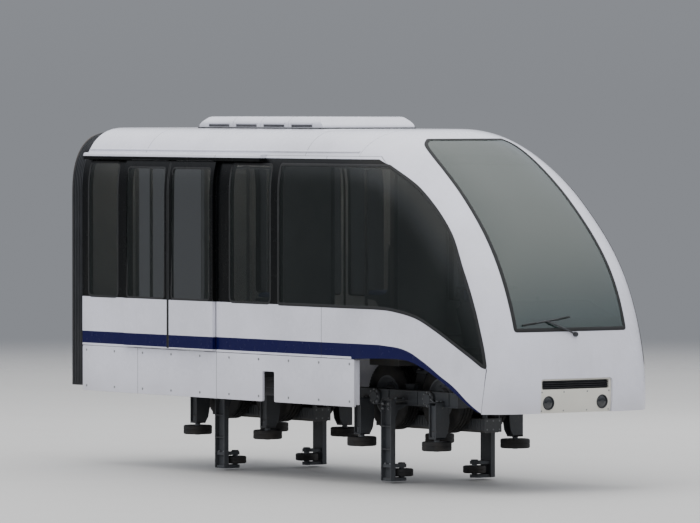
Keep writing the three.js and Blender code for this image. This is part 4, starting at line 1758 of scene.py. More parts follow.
    def nose(self, skin: Object) -> None:
        """Cuts the nose moulding, with the windscreen's and the fascia's openings.

        Args:
            skin: the skin.
        """
        low = self.cant + self.gap / 2
        outline = [(self.nose_joint, 3.3), (self.nose_joint, low), (1.85 + self.gap, low),
                   *[(x + self.gap, z) for x, z in (*self.pillar, *self.foot)],
                   (3.66, 0.2), (4.0, 0.2), (4.0, 3.3)]
        half, top = self.fascia
        opening = softened(rectangle((-half, 0.2), (half, top)), 0.035)
        holes = (frontal(self.screen_outline(), 1.2), frontal(opening))
        nose = cut_skin(skin, "nose_moulding", prism_tool(outline, -1.3, 1.3, "Y"), holes)
        mounted(nose, (WHITE, DARK_PLASTIC, WHITE), "nose_shell")

    def build(self) -> None:
        """Builds the whole skin."""
        skin = BODY.shell(0.0, self.wall)
        for side in Side:
            self.walls(skin, side)
            self.skirts(side)
        self.roof(skin)
        self.nose(skin)
        bpy.data.meshes.remove(skin.data)


def surface_path(outline: Outline, front: bool = False, pitch: float = 0.03) -> list[Vector]:
    """Carries an outline's points on to the body's surface.

    Args:
        outline: (x, z) points for the left side, or (y, z) points for the front.
        front: True for the front.
        pitch: the longest distance between two points.

    Returns:
        The points on the surface.
    """
    line: list[Vector] = []
    for here, on in zip(outline, outline[1:] + outline[:1]):
        steps = max(1, math.ceil(math.dist(here, on) / pitch))
        for step in range(steps):
            a, z = (h + (o - h) * step / steps for h, o in zip(here, on))
            line.append(Vector((BODY.nose(a, z), a, z) if front else (a, BODY.side(a, z), z)))
    return line


def bead(sketch: Sketch, line: Sequence[Vector], width: float, proud: float) -> None:
    """Adds a closed strip along the body's surface, its top rounded.

    Args:
        sketch: where the strip is added.
        line: the strip's middle, on the surface.
        width: the strip's width.
        proud: how far its top stands out of the surface.
    """
    sunk = 0.004
    section = ((-0.5, -sunk), (0.5, -sunk), (0.5, proud * 0.45), (0.3, proud * 0.92), (0.0, proud),
               (-0.3, proud * 0.92), (-0.5, proud * 0.45))
    rings = []
    for i, (at, normal) in enumerate(zip(line, BODY.normals(np.array(line)))):
        out = Vector(normal)
        along = (line[(i + 1) % len(line)] - line[i - 1]).normalized()
        side = along.cross(out).normalized()
        rings.append([at + side * a * width + out * h for a, h in section])
    sketch.loft(rings, closed=True)


@dataclass
class Glass:
    """The panes, their rubber seals and the windscreen's wiper."""

    skin: Skin
    thickness: float = 0.01
    gap: float = 0.0004
    arm: tuple[tuple[float, float], ...] = ((0.02, 1.075), (-0.33, 1.215))
    blade: tuple[tuple[float, float], ...] = ((-0.62, 1.175), (-0.02, 1.25))

    def panes(self) -> None:
        """Builds the side panes and the windscreen."""
        sheet = BODY.shell(0.0, self.thickness)
        for side in Side:
            for name, outline in self.skin.window_outlines().items():
                tool = across(side, shrunk(outline, self.gap))
                mounted(cut_skin(sheet, f"{name}_pane_{side.label}", tool),
                        (SIDE_GLASS, SIDE_GLASS, SEAL), f"{name}_{side.label}")
        tool = frontal(shrunk(self.skin.screen_outline(), self.gap), 1.2)
        mounted(cut_skin(sheet, "windscreen_pane", tool),
                (SCREEN_GLASS, SCREEN_GLASS, SEAL), "windscreen")
        bpy.data.meshes.remove(sheet.data)

    def seals(self) -> None:
        """Builds the rubber round every pane."""
        for side in Side:
            sketch = Sketch(side.value)
            for name, outline in self.skin.window_outlines().items():
                width, proud = (0.034, 0.005) if name == "cab_window" else (0.026, 0.0025)
                bead(sketch, surface_path(shrunk(softened(outline, 0.03), 0.004)), width, proud)
            sketch.fit(f"window_seals_{side.label}", Slot.BELLOWS, SEAL, angle=50)
        sketch = Sketch()
        bead(sketch, surface_path(shrunk(self.skin.screen_outline(), 0.006), True), 0.04, 0.006)
        sketch.fit("windscreen_seal", Slot.BELLOWS, SEAL, angle=50)

    def wiper(self) -> None:
        """Builds the single wiper, parked along the foot of the windscreen."""
        def over(ends: Sequence[Point], t: float, proud: float) -> Vector:
            """Finds a point above the glass.

            Args:
                ends: two points in front view.
                t: the share of the way between them.
                proud: how far above the glass.

            Returns:
                The point.
            """
            y, z = (a + (b - a) * t for a, b in zip(*ends))
            at = Vector((BODY.nose(y, z), y, z))
            return at + Vector(BODY.normals(np.array([at]))[0]) * proud

        sketch = Sketch()
        arm = [over(self.arm, t, 0.012 + 0.016 * math.sin(t * 3.1)) for t in spaced(0, 1, 0.1)]
        sketch.pipe(arm, 0.009, 8)
        sketch.pipe([arm[0] + Vector((dx, 0, 0)) for dx in (-0.01, 0.022)], 0.024, 16)
        blade = [over(self.blade, t, 0.013) for t in spaced(0, 1, 0.08)]
        sketch.pipe(blade, 0.008, 8, slot=1)
        sketch.pipe([p + Vector((0.009, 0, 0.003)) for p in blade[3:-3]], 0.006, 6)
        sketch.fit("windscreen_wiper", Slot.STEEL, DARK_PLASTIC, SEAL)

    def build(self) -> None:
        """Builds all the glazing."""
        self.panes()
        self.seals()
        self.wiper()


@dataclass
class DoorPair:
    """A pair of sliding leaves hung outside one side of the body, and their rail."""

    side: Side
    centre: float = -1.76
    width: float = 0.847
    meeting: float = 0.006
    standoff: float = 0.008
    thickness: float = 0.038
    bottom: float = 0.792
    top: float = 2.812
    glass: tuple[float, float] = (1.32, 2.74)
    glass_gap: float = 0.0004
    tool_start: float = 0.9
    rib: float = 0.06
    rail: tuple[float, float, float, float] = (-3.44, -0.08, 2.816, 2.89)
    hanger_top: float = 2.838
    step: tuple[float, float, float] = (0.81, 1.02, 1.146)
    seal: tuple[tuple[float, float], ...] = (
        (-0.011, -0.02), (0.011, -0.02), (0.011, -0.003), (0.004, 0.0), (-0.004, 0.0),
        (-0.011, -0.003))

    def _wall(self, z: float, out: float) -> float:
        """The distance from the centre plane of a face that stands out from the body's side."""
        return float(BODY.half_at(z)) + out

    def _leaf(self, near: float, far: float, span: Sequence[float], trim: float = 0.0) -> Sketch:
        """Draws a plate as high as a leaf that follows the body's side.

        Args:
            near: how far its inner face stands out.
            far: how far its outer face does.
            span: where it starts and ends along the car.
            trim: how much lower it is at its top and foot.

        Returns:
            The sketch.
        """
        low, high = self.bottom + trim, self.top - trim
        heights = [low, *[z for z in spaced(2.4, 2.85, 0.03) if low < z < high], high]
        inner, outer = ([(self._wall(z, out), z) for z in heights] for out in (near, far))
        sketch = Sketch(self.side.value)
        sketch.prism(inner + outer[::-1], *span, "X")
        return sketch

    def _opening(self, span: Sequence[float], gap: float) -> Outline:
        """The glass's outline in a leaf, smaller by a gap."""
        low, high = ((x, z) for x, z in zip((span[0] + self.rib, span[1] - self.rib), self.glass))
        return shrunk(rounded_rectangle(low, high, 0.045), gap)

    def leaf(self, end: str, way: int) -> None:
        """Builds one leaf with its glass, seal, edge rubber and hanger.

        Args:
            end: rear or front.
            way: the way from the doorway's middle to the leaf, -1 to the rear.
        """
        tag, body = f"{self.side.label}_{end}", f"door_{self.side.label}_{end}_leaf"
        middle = self.centre + way * (self.width + self.meeting) / 2
        span = [middle - self.width / 2, middle + self.width / 2]
        face = self.standoff + self.thickness
        closing = 0 if way > 0 else 1
        trimmed = list(span)
        trimmed[closing] += way * 0.018
        sketch = self._leaf(self.standoff, face - 0.002, trimmed)
        leaf = link(sketch.mesh("leaf"), f"door_leaf_{tag}")
        tool = across(self.side, self._opening(span, 0.0), self.tool_start)
        bevelled(carve(leaf, tool, Cut.AWAY), 0.004, 40)
        inside = floats(leaf.data.polygons, "normal", 3)[:, 1] * self.side.value < -0.5
        leaf.data.polygons.foreach_set("material_index", inside.astype(np.int32))
        mounted(leaf, (LIVERY, WALL_PANEL), f"door_{tag}", body)

        pane = link(self._leaf(face - 0.014, face - 0.006, span).mesh("pane"), f"door_pane_{tag}")
        tool = across(self.side, self._opening(span, self.glass_gap), self.tool_start)
        crease(carve(pane, tool, Cut.WITHIN), 30)
        mounted(pane, (SIDE_GLASS,), f"door_glass_{tag}", body)

        edge = span[closing] + way * 0.009
        sketch = self._leaf(self.standoff + 0.002, face - 0.003,
                            (edge - way * 0.0085, edge + way * 0.011), 0.004)
        self._seal(sketch, self._opening(span, 0.004), face)
        y = self._wall(self.top, self.standoff + self.thickness / 2)
        sketch.block((span[0] + 0.08, y - 0.008, self.top - 0.02),
                     (span[1] - 0.08, y + 0.008, self.hanger_top), 0.003, 1)
        sketch.fit(f"door_rubbers_{tag}", Slot.BELLOWS, SEAL, STAINLESS, body=body)

    def _seal(self, sketch: Sketch, outline: Outline, face: float) -> None:
        """Adds the rubber round a leaf's glass.

        Args:
            sketch: where it is added.
            outline: its middle line, in side view.
            face: how far the leaf's outer face stands out.
        """
        rings = []
        for i, (x, z) in enumerate(outline):
            along = (Vector(outline[(i + 1) % len(outline)]) - Vector(outline[i - 1])).normalized()
            points = [(x - along.y * a, z + along.x * a, h) for a, h in self.seal]
            rings.append([(px, self._wall(pz, face + h), pz) for px, pz, h in points])
        sketch.loft(rings, closed=True)

    def cover(self) -> None:
        """Builds the cover over the rail."""
        x0, x1, low, high = self.rail
        wall = self._wall(self.top, 0.0)
        near, out, middle = wall - 0.05, wall + 0.066, wall + self.standoff + self.thickness / 2
        inner, outer, roof = middle - 0.014, middle + 0.014, self.hanger_top + 0.0008
        section = [(near, low), (inner, low), (inner, roof), (outer, roof), (outer, low), (out, low),
                   (out, high - 0.03), (out - 0.012, high - 0.006), (out - 0.034, high), (near, high)]
        sketch = Sketch(self.side.value)
        sketch.prism(section, x0, x1, "X")
        cover = link(sketch.mesh("cover"), f"door_rail_cover_{self.side.label}")
        bevelled(carve(cover, BODY.solid(-0.0003), Cut.AWAY), 0.0025, 38)
        mounted(cover, (LIVERY,), f"door_rail_{self.side.label}")

    def threshold(self) -> None:
        """Builds the ribbed alloy plate in the doorway's floor."""
        half, near, far = self.step
        x0, x1 = self.centre - half, self.centre + half
        sketch = Sketch(self.side.value)
        sketch.block((x0, near, 0.9505), (x1, far, 0.9565), 0.002)
        for y in spaced(near + 0.012, far - 0.012, 0.017):
            sketch.block((x0 + 0.01, y - 0.003, 0.955), (x1 - 0.01, y + 0.003, 0.9595), 0.001)
        sketch.fit(f"door_threshold_{self.side.label}", Slot.STEEL, ALLOY)

    def build(self) -> None:
        """Builds both leaves, the rail's cover and the threshold."""
        for end, way in (("rear", -1), ("front", 1)):
            self.leaf(end, way)
        self.cover()
        self.threshold()


@dataclass
class Gangway:
    """The rear end: folded bellows, their floor and end frame, the doorway's trim and drawbar."""

    front: float = -3.482
    rear: float = -3.735
    frame_rear: float = -3.7595
    inset: float = 0.047
    depth: float = 0.086
    folds: int = 8
    sheet: float = 0.004
    bottom: float = 0.33
    floor: tuple[float, float] = (0.792, 0.885)
    frame_wall: float = 0.058
    doorway: tuple[float, float, float] = (0.449, 0.991, 2.899)
    wall_faces: tuple[float, float] = (-3.492, -3.418)
    bar_z: float = 0.65

    def arch(self) -> list[tuple[Vector, Vector]]:
        """Draws the body's end view from foot to foot.

        Returns:
            Its points, each with its outward direction.
        """
        heights = [self.bottom, 1.0, 1.7, *BODY.heights(1, 22)[1:]]
        half = [(float(BODY.half_at(z)), z) for z in heights]
        half.append((0.2, heights[-1]))
        points = [Vector(p) for p in half + [(-y, z) for y, z in reversed(half)]]
        made = []
        for at, back, on in zip(points, points[:1] + points, points[1:] + points[-1:]):
            along = on - back
            made.append((at, Vector((along.y, -along.x)).normalized()))
        return made

    def _swept(self, section: Outline, name: str, slot: Slot, finish: Finish, node: str = "",
               angle: float = 50.0) -> None:
        """Carries a section round the arch.

        Args:
            section: its (x, inset) points.
            name: the piece's name.
            slot: the record's material slot.
            finish: the piece's finish.
            node: the CAD node that it stands for, if any.
            angle: edges that turn by more than this many degrees stay crisp.
        """
        sketch = Sketch()
        sketch.loft([[(x, at.x - out.x * d, at.y - max(out.y, 0) * d) for x, d in section]
                     for at, out in self.arch()])
        sketch.fit(name, slot, finish, node=node, angle=angle)

    def bellows(self) -> None:
        """Builds the folded cloth and the frames in its folds."""
        pitch = (self.front - self.rear) / self.folds
        line: Outline = []
        for x in (self.rear + pitch * i for i in range(self.folds)):
            line += [(x + pitch * t, self.inset + self.depth * d) for t, d in (
                (0.0, 1.0), (0.14, 0.96), (0.36, 0.1), (0.5, 0.0), (0.64, 0.1), (0.86, 0.96))]
        line.append((self.front, self.inset + self.depth))
        behind = [(x, d + self.sheet * 1.6) for x, d in reversed(line)]
        self._swept(line + behind, "gangway_folds", Slot.BELLOWS, BELLOWS_CLOTH, "gangway_bellows")
        low, high = self.inset - 0.001, self.inset + 0.012
        for i in range(self.folds):
            x = self.rear + pitch * (i + 0.5)
            rib = [(x - 0.004, high), (x - 0.004, low), (x + 0.004, low), (x + 0.004, high)]
            self._swept(rib, f"gangway_fold_frame_{i + 1}", Slot.STEEL, DARK_ALLOY)

    def bridge(self) -> None:
        """Builds the gangway's treadplate floor."""
        low, high = self.floor
        sketch = Sketch()
        sketch.block((self.rear + 0.004, -0.99, high - 0.012), (self.front - 0.006, 0.99, high - 0.002),
                     0.003)
        for y in spaced(-0.9, 0.9, 0.3):
            sketch.block((self.rear + 0.01, y - 0.03, low), (self.front - 0.012, y + 0.03, high - 0.011))
        sketch.fit("gangway_floor", Slot.STEEL, ALLOY)
        spots = [Spot((x, y, high - 0.0025), along=(1, 1 if (i + k) % 2 else -1, 0))
                 for i, x in enumerate(spaced(self.rear + 0.025, self.front - 0.025, 0.026))
                 for k, y in enumerate(spaced(-0.97, 0.97, 0.036))]
        LOZENGES.fit("gangway_floor_treads", Slot.STEEL, spots, (0.024, 0.01, 0.0025), ALLOY)

    def end_frame(self) -> None:
        """Builds the frame that the bellows end in, with its bolts."""
        x0, x1, near = self.frame_rear, self.rear - 0.0005, self.inset
        far, edge = near + self.frame_wall, 0.004
        section = [(x1, near), (x0 + edge, near), (x0, near + edge), (x0, far - edge),
                   (x0 + edge, far), (x1, far)]
        self._swept(section, "gangway_frame", Slot.STEEL, FRAME_PAINT, "gangway_end_frame", 30)
        low, half = self.floor[0], BODY.half - far + edge
        sketch = Sketch()
        sketch.block((x0, -half, low), (x1, half, low + 0.058), edge)
        sketch.fit("gangway_frame_sill", Slot.STEEL, FRAME_PAINT)
        line = [at - out * (near + self.frame_wall / 2) for at, out in self.arch()]
        kept = [line[0].lerp(line[1], 0.1)]
        for a, b in zip(line, line[1:]):
            steps = max(1, round((b - a).length / 0.17))
            for at in (a.lerp(b, k / steps) for k in range(steps)):
                if (at - kept[-1]).length > 0.15:
                    kept.append(at)
        spots = [Spot((x0, p.x, p.y), (-1, 0, 0), (0, 0, 1)) for p in kept]
        BOLTS.fit("gangway_frame_bolts", Slot.STEEL, spots, (0.022, 0.022, 0.011), BOLT_METAL, 3.0)

    def doorway_trim(self) -> None:
        """Builds the moulded trim round the rear wall's doorway, and dresses the wall."""
        half, low, high = self.doorway
        hole = rounded_rectangle((-half, low), (half, high), 0.02, 3)
        outer, inner = shrunk(hole, -0.03), shrunk(hole, 0.012)
        x0, x1 = self.wall_faces
        sketch = Sketch()
        for face, depth in ((x0, 0.0115), (x1, -0.0115)):
            sketch.loft(upright([(face + depth, outer), (face, outer), (face, hole),
                                 (face + depth * 0.4, inner), (face + depth, inner)]), closed=True)
        sketch.loft(upright([(x0 + 0.006, hole), (x1 - 0.006, hole), (x1 - 0.006, inner),
                             (x0 + 0.006, inner)]), closed=True)
        sketch.fit("gangway_doorway_trim", Slot.TRIM, ALLOY, angle=40)
        dress_node("rear_end_wall", WALL_PANEL)

    def drawbar(self) -> None:
        """Builds the coupling bar, its flanges and its root bracket."""
        sketch, z = Sketch(), self.bar_z
        sketch.pipe([(x, 0, z) for x in (-3.815, -3.74, -3.7, -3.42, -3.3)], 0.047, 28)
        for x in (-3.71, -3.44):
            sketch.turned([(0, -0.014), (0.058, -0.014), (0.06, -0.011), (0.06, 0.011),
                           (0.058, 0.014), (0, 0.014)], (x, 0, z), "X", 32)
        sketch.block((-3.845, -0.13, 0.56), (-3.821, 0.13, 0.74), 0.006)
        for y in (-0.09, 0.065):
            sketch.prism([(-3.823, 0.6), (-3.823, 0.7), (-3.75, 0.672), (-3.75, 0.628)], y,
                         y + 0.025, "Y")
        sketch.block((-3.4, -0.11, 0.694), (-3.3, 0.11, 0.769), 0.006)
        sketch.block((-3.39, -0.055, 0.6), (-3.31, 0.055, 0.7), 0.01)
        sketch.fit("drawbar", Slot.STEEL, MOTOR_PAINT, node="rear_drawbar")
        spots = [Spot((-3.8215, y, z + dz), (1, 0, 0), (0, 0, 1)) for y in (-0.105, 0.105)
                 for dz in (-0.065, 0, 0.065)]
        spots += [Spot((x, s * 0.1098, 0.73), (0, s, 0)) for x in (-3.375, -3.325) for s in (-1, 1)]
        BOLTS.fit("drawbar_bolts", Slot.STEEL, spots, (0.024, 0.024, 0.013), BOLT_METAL, 3.0)

    def build(self) -> None:
        """Builds the rear end."""
        self.bellows()
        self.bridge()
        self.end_frame()
        self.doorway_trim()
        self.drawbar()


@dataclass
class RoofCasing:
    """The raised casing of the ventilation plant."""

    rear: float = -2.02
    front: float = 0.29
    half: float = 0.6
    top: float = 3.2865
    slope: float = 0.13
    foot: float = 3.06
    edge: float = 3.19
    chamfer: float = 0.06
    seam: float = 0.0035
    clear: float = 0.0003

    def joints(self) -> list[float]:
        """Where the lids start and end along the casing."""
        return spaced(self.rear + self.slope, self.front - self.slope, 0.5)

    def casing(self) -> None:
        """Builds the casing with the seams between its lids."""
        foot, top, half, flat = self.foot, self.top, self.half, self.half - self.chamfer
        side = [(self.rear, foot), (self.front, foot), (self.front, self.edge),
                (self.front - self.slope, top), (self.rear + self.slope, top), (self.rear, self.edge)]
        end = [(-half, foot), (half, foot), (half, top - self.chamfer), (flat, top), (-flat, top),
               (-half, top - self.chamfer)]
        piece = prism_tool(softened(side, 0.03), -half, half, "Y")
        piece.name = "roof_casing"
        carve(piece, prism_tool(softened(end, 0.025), self.rear - 0.1, self.front + 0.1, "X"),
              Cut.WITHIN)
        carve(piece, BODY.solid(-self.clear), Cut.AWAY)
        for x in self.joints()[1:-1]:
            x0, x1 = x - self.seam, x + self.seam
            core = prism_tool(softened(shrunk(end, 0.005), 0.02), x0, x1, "X")
            carve(piece, carve(box_tool((x0, -0.7, 3.0), (x1, 0.7, 3.4)), core, Cut.AWAY), Cut.AWAY)
        mounted(bevelled(piece, 0.0025, 38), (ROOF_WHITE,), "roof_pod")

    def fittings(self) -> None:
        """Builds the louvres, the lid fasteners and the gasket."""
        sketch, louvres, pins = Sketch(), [], []
        y0, y1 = self.half - 0.004, self.half + 0.0035
        for s in (-1, 1):
            sketch.flip = s
            for a, b in zip(self.joints(), self.joints()[1:]):
                x0, x1, middle = a + 0.06, b - 0.06, (a + b) / 2
                for z in (3.168, 3.21):
                    sketch.block((x0 - 0.008, y0, z), (x1, y1, z + 0.008), 0.002)
                for x in (x0, x1):
                    sketch.block((x - 0.008, y0, 3.168), (x, y1, 3.218), 0.002)
                louvres += [Spot((middle, s * self.half, z), (0, s, 0)) for z in (3.182, 3.191, 3.2)]
                pins += [Spot((x, s * (self.half - self.chamfer - 0.025), self.top - 0.0005))
                         for x in (a + 0.05, middle, b - 0.05)]
        sketch.fit("casing_louvre_frames", Slot.WHITE, ROOF_WHITE)
        SLATS.fit("casing_louvres", Slot.STEEL, louvres, (0.386, 0.006, 0.004), DARK_PLASTIC)
        RIVETS.fit("casing_fasteners", Slot.STEEL, pins, (0.026, 0.026, 0.0035), BOLT_METAL)
        outline = rounded_rectangle((self.rear - 0.012, -self.half - 0.012),
                                    (self.front + 0.012, self.half + 0.012), 0.03)
        line = [(x, y, BODY.roof(x, y) + 0.004) for x, y in divided(outline, 0.05)]
        sketch = Sketch()
        sketch.pipe(line, 0.0085, 8, closed=True)
        sketch.fit("casing_gasket", Slot.BELLOWS, SEAL)

    def build(self) -> None:
        """Builds the casing and what is on it."""
        self.casing()
        self.fittings()


@dataclass
class FrontPanel:
    """The recessed lower front panel with its dark slot, its lamps and the coupler behind."""

    half: float = 0.4597
    top: float = 0.6297
    bottom: float = 0.281
    inset: float = 0.025
    thickness: float = 0.03
    lamp_radius: float = 0.072
    lamp_at: tuple[float, float] = (0.345, 0.385)
    slot: tuple[float, float, float] = (0.43, 0.522, 0.612)
    pin: tuple[float, float, float] = (3.105, 0.0, 0.52)

    def panel(self) -> None:
        """Builds the panel and what is in its slot."""
        panel = BODY.shell(self.inset, self.inset + self.thickness)
        panel.name = "front_panel"
        outline = softened(rectangle((-self.half, self.bottom), (self.half, self.top)), 0.033)
        carve(panel, frontal(outline), Cut.WITHIN)
        half, low, high = self.slot
        carve(panel, frontal(rounded_rectangle((-half, low), (half, high), 0.016)), Cut.AWAY)
        holes, r = Sketch(), self.lamp_radius
        for side in Side:
            holes.turned([(0, 3.6), (r, 3.6), (r, 4.0), (0, 4.0)],
                         (0, side.value * self.lamp_at[0], self.lamp_at[1]), "X", 48)
        carve(panel, link(holes.mesh("holes"), "holes"), Cut.AWAY)
        mounted(bevelled(panel, 0.002, 45), (CREAM,), "front_fascia")
        # The plate behind the slot's louvres is a backing piece, and its dark plastic stands in for the
        # shade inside the recess: painted shade.
        plate, past = BODY.shell(0.072, 0.078), 0.015
        plate.name = "slot_back_plate"
        carve(plate, box_tool((3.6, -half - past, low - past), (4.0, half + past, high + past)),
              Cut.WITHIN)
        mounted(crease(plate, 35), (DARK_PLASTIC,))
        sketch = Sketch()
        section = ((-0.016, 0.006), (-0.016, 0.001), (0.014, -0.008), (0.017, -0.004))
        for z in (low + 0.024, (low + high) / 2, high - 0.024):
            line = [(BODY.nose(y, z) - 0.052, y) for y in spaced(-half - 0.012, half + 0.012, 0.04)]
            sketch.loft([[(x + dx, y, z + dz) for dx, dz in section] for x, y in line])
        sketch.fit("slot_louvres", Slot.STEEL, DARK_PLASTIC, angle=30)

    def lamps(self) -> None:
        """Builds both lamps: bezel, dark lens, reflector and light elements."""
        r, (lamp_y, lamp_z) = self.lamp_radius - 0.0004, self.lamp_at
        bezel = [(r, -0.05), (r, 0.003), (r - 0.003, 0.0075), (r - 0.009, 0.0078),
                 (r - 0.012, 0.003), (r - 0.012, -0.05)]
        lens = [(0, 0.0055), (0.02, 0.005), (0.04, 0.0025), (r - 0.0125, -0.002),
                (r - 0.0125, -0.006), (0.03, -0.001), (0, 0.0005)]
        dish = [(0, -0.048), (0.018, -0.047), (0.036, -0.036), (0.05, -0.018),
                (r - 0.013, -0.009), (r - 0.013, -0.052), (0, -0.057)]
        element = [(0, -0.02), (0.006, -0.021), (0.011, -0.026), (0.012, -0.034), (0.012, -0.045),
                   (0, -0.045)]
        face = BODY.nose(lamp_y, lamp_z) - self.inset
        for side in Side:
            at, sketch = (face, lamp_y, lamp_z), Sketch(side.value)
            sketch.turned(bezel, at, "X", 56, 0, True)
            sketch.turned(lens, at, "X", 56, 1)
            sketch.turned(dish, at, "X", 48, 2)
            for dy, dz in ((0, 0.022), (-0.019, -0.011), (0.019, -0.011)):
                sketch.turned(element, (face, lamp_y + dy, lamp_z + dz), "X", 20, 3)
            sketch.fit(f"headlamp_unit_{side.label}", Slot.LAMP, DARK_PLASTIC, LENS, STAINLESS,
                       DIFFUSER, node=f"headlamp_{side.label}", angle=40)
        spots = [Spot((BODY.nose(y, z) - self.inset - 0.0003, y, z), (1, 0, 0), (0, 0, 1))
                 for y in (-0.43, -0.15, 0.15, 0.43) for z in (0.305, 0.495)]
        RIVETS.fit("front_panel_screws", Slot.STEEL, spots, (0.018, 0.018, 0.003), BOLT_METAL)

    def coupler(self) -> None:
        """Builds the recovery coupler."""
        sketch = Sketch()
        sketch.pipe([(x, *self.pin[1:]) for x in (3.07, 3.1, 3.4, 3.62)], 0.042, 24)
        sketch.block((3.6, -0.11, 0.43), (3.64, 0.11, 0.61), 0.008)
        for y in (-0.11, 0.05):
            sketch.block((3.635, y, 0.46), (3.7, y + 0.06, 0.58), 0.012)
        sketch.block((3.03, -0.13, 0.83), (3.18, 0.13, 0.8795), 0.006)
        cheek = [(3.03, 0.84), (3.045, 0.5), (3.075, 0.45), (3.13, 0.45), (3.165, 0.5), (3.18, 0.84)]
        for y in (-0.13, 0.1):
            sketch.prism(cheek, y, y + 0.03, "Y")
        sketch.turned([(0, -0.138), (0.028, -0.138), (0.028, 0.138), (0, 0.138)], self.pin, "Y", 24, 1)
        sketch.fit("recovery_coupler", Slot.STEEL, MOTOR_PAINT, BOLT_METAL, node="front_coupler")

    def build(self) -> None:
        """Builds the front end's lower part."""
        self.panel()
        self.lamps()
        self.coupler()


# The rooms


def tilted(at: Point, angle: float) -> Matrix:
    """The move of something flat to a place, its front end lowered by an angle in degrees."""
    return Matrix.Translation(at) @ Matrix.Rotation(math.radians(angle), 4, "Y")


@dataclass
class Pad:
    """A padded cushion: a block that swells in a cloth simulation, then gets its sewn seams.

    It lies flat, its middle over the origin and its foot at 0, until it is placed.
    """

    length: float
    width: float
    thick: float
    swell: float = 0.009
    voxel: float = 0.006
    seams: tuple[float, ...] = ()
    smooth: bool = False
    frames: int = 20
    fill: float = 0.75
    _parts: tuple[tuple[str, Mesh, Finish], ...] = ()

    def _inflated(self, piece: Object) -> None:
        """Swells the cushion by air pressure, its foot held, each point by no more than swell.

        Args:
            piece: the cushion.
        """
        scene = bpy.context.scene
        start = floats(piece.data.vertices, "co", 3)
        held = piece.vertex_groups.new(name="held")
        held.add([int(i) for i in np.nonzero(start[:, 2] < self.thick * 0.22)[0]], 1.0, "ADD")
        cloth = piece.modifiers.new("swell", "CLOTH").settings
        cloth.quality, cloth.mass, cloth.bending_stiffness = 4, 0.2, 0.4
        cloth.tension_stiffness = cloth.compression_stiffness = 14.0
        cloth.use_pressure, cloth.uniform_pressure_force = True, 4.0
        cloth.effector_weights.gravity = 0.0
        cloth.vertex_group_mass = "held"
        for number in range(1, self.frames + 1):
            scene.frame_set(number)
        swollen = piece.evaluated_get(bpy.context.evaluated_depsgraph_get()).data
        move = floats(swollen.vertices, "co", 3) - start
        piece.modifiers.clear()
        piece.vertex_groups.clear()
        size = np.linalg.norm(move, axis=1, keepdims=True)
        move *= np.minimum(1.0, self.swell / np.maximum(size, 1e-9))
        piece.data.vertices.foreach_set("co", (start + move).ravel())
        scene.frame_set(1)

    def _sewn(self, mesh: Mesh) -> None:
        """Presses the seams in and keeps the foot flat.

        Args:
            mesh: the cushion's mesh.
        """
        points = floats(mesh.vertices, "co", 3)
        up = np.clip((points[:, 2] - self.thick * 0.5) / (self.thick * 0.3), 0, 1)
        for at in self.seams:
            points[:, 2] -= 0.0085 * up * np.exp(-(((points[:, 0] - at) / 0.0075) ** 2))
        points[:, 2] = np.maximum(points[:, 2], 0.0)
        mesh.vertices.foreach_set("co", points.ravel())

    def _make(self) -> None:
        """Makes the cushion and the welt along its upper edge."""
        cut = self.swell * 0.75
        x, y = self.length / 2 - cut, self.width / 2 - cut
        sketch = Sketch()
        sketch.block((-x, -y, 0.0), (x, y, self.thick - cut), self.thick * 0.3)
        piece = link(sketch.mesh("pad"), "pad")
        remesh = piece.modifiers.new("even", "REMESH")
        remesh.mode, remesh.voxel_size = "VOXEL", self.voxel
        baked(piece)
        self._inflated(piece)
        self._sewn(piece.data)
        if self.smooth:
            finer = piece.modifiers.new("fine", "SUBSURF")
            finer.levels = finer.render_levels = 1
            baked(piece)
        bpy.context.view_layer.update()
        line = divided(rounded_rectangle((-x, -y), (x, y), self.thick * 0.35), 0.02)
        sketch = Sketch()
        sketch.pipe([piece.closest_point_on_mesh((*p, self.thick * 0.74))[1] for p in line],
                    0.0032, 6, closed=True)
        self._parts = (("", piece.data.copy(), CLOTH), ("_welt", sketch.mesh("welt"), PIPING))
        bpy.data.meshes.remove(piece.data)

    def place(self, name: str, at: Point, angle: float) -> None:
        """Sets a copy of the cushion and its welt in place.

        Args:
            name: the piece's name.
            at: where the middle of its foot goes.
            angle: how far its front end is lowered, in degrees.
        """
        if not self._parts:
            self._make()
        for kind, source, finish in self._parts:
            piece = link(source.copy(), name + kind)
            piece.data.transform(tilted(at, angle))
            piece.data.polygons.foreach_set("use_smooth", np.ones(len(piece.data.polygons), bool))
            mounted(piece, (finish,))


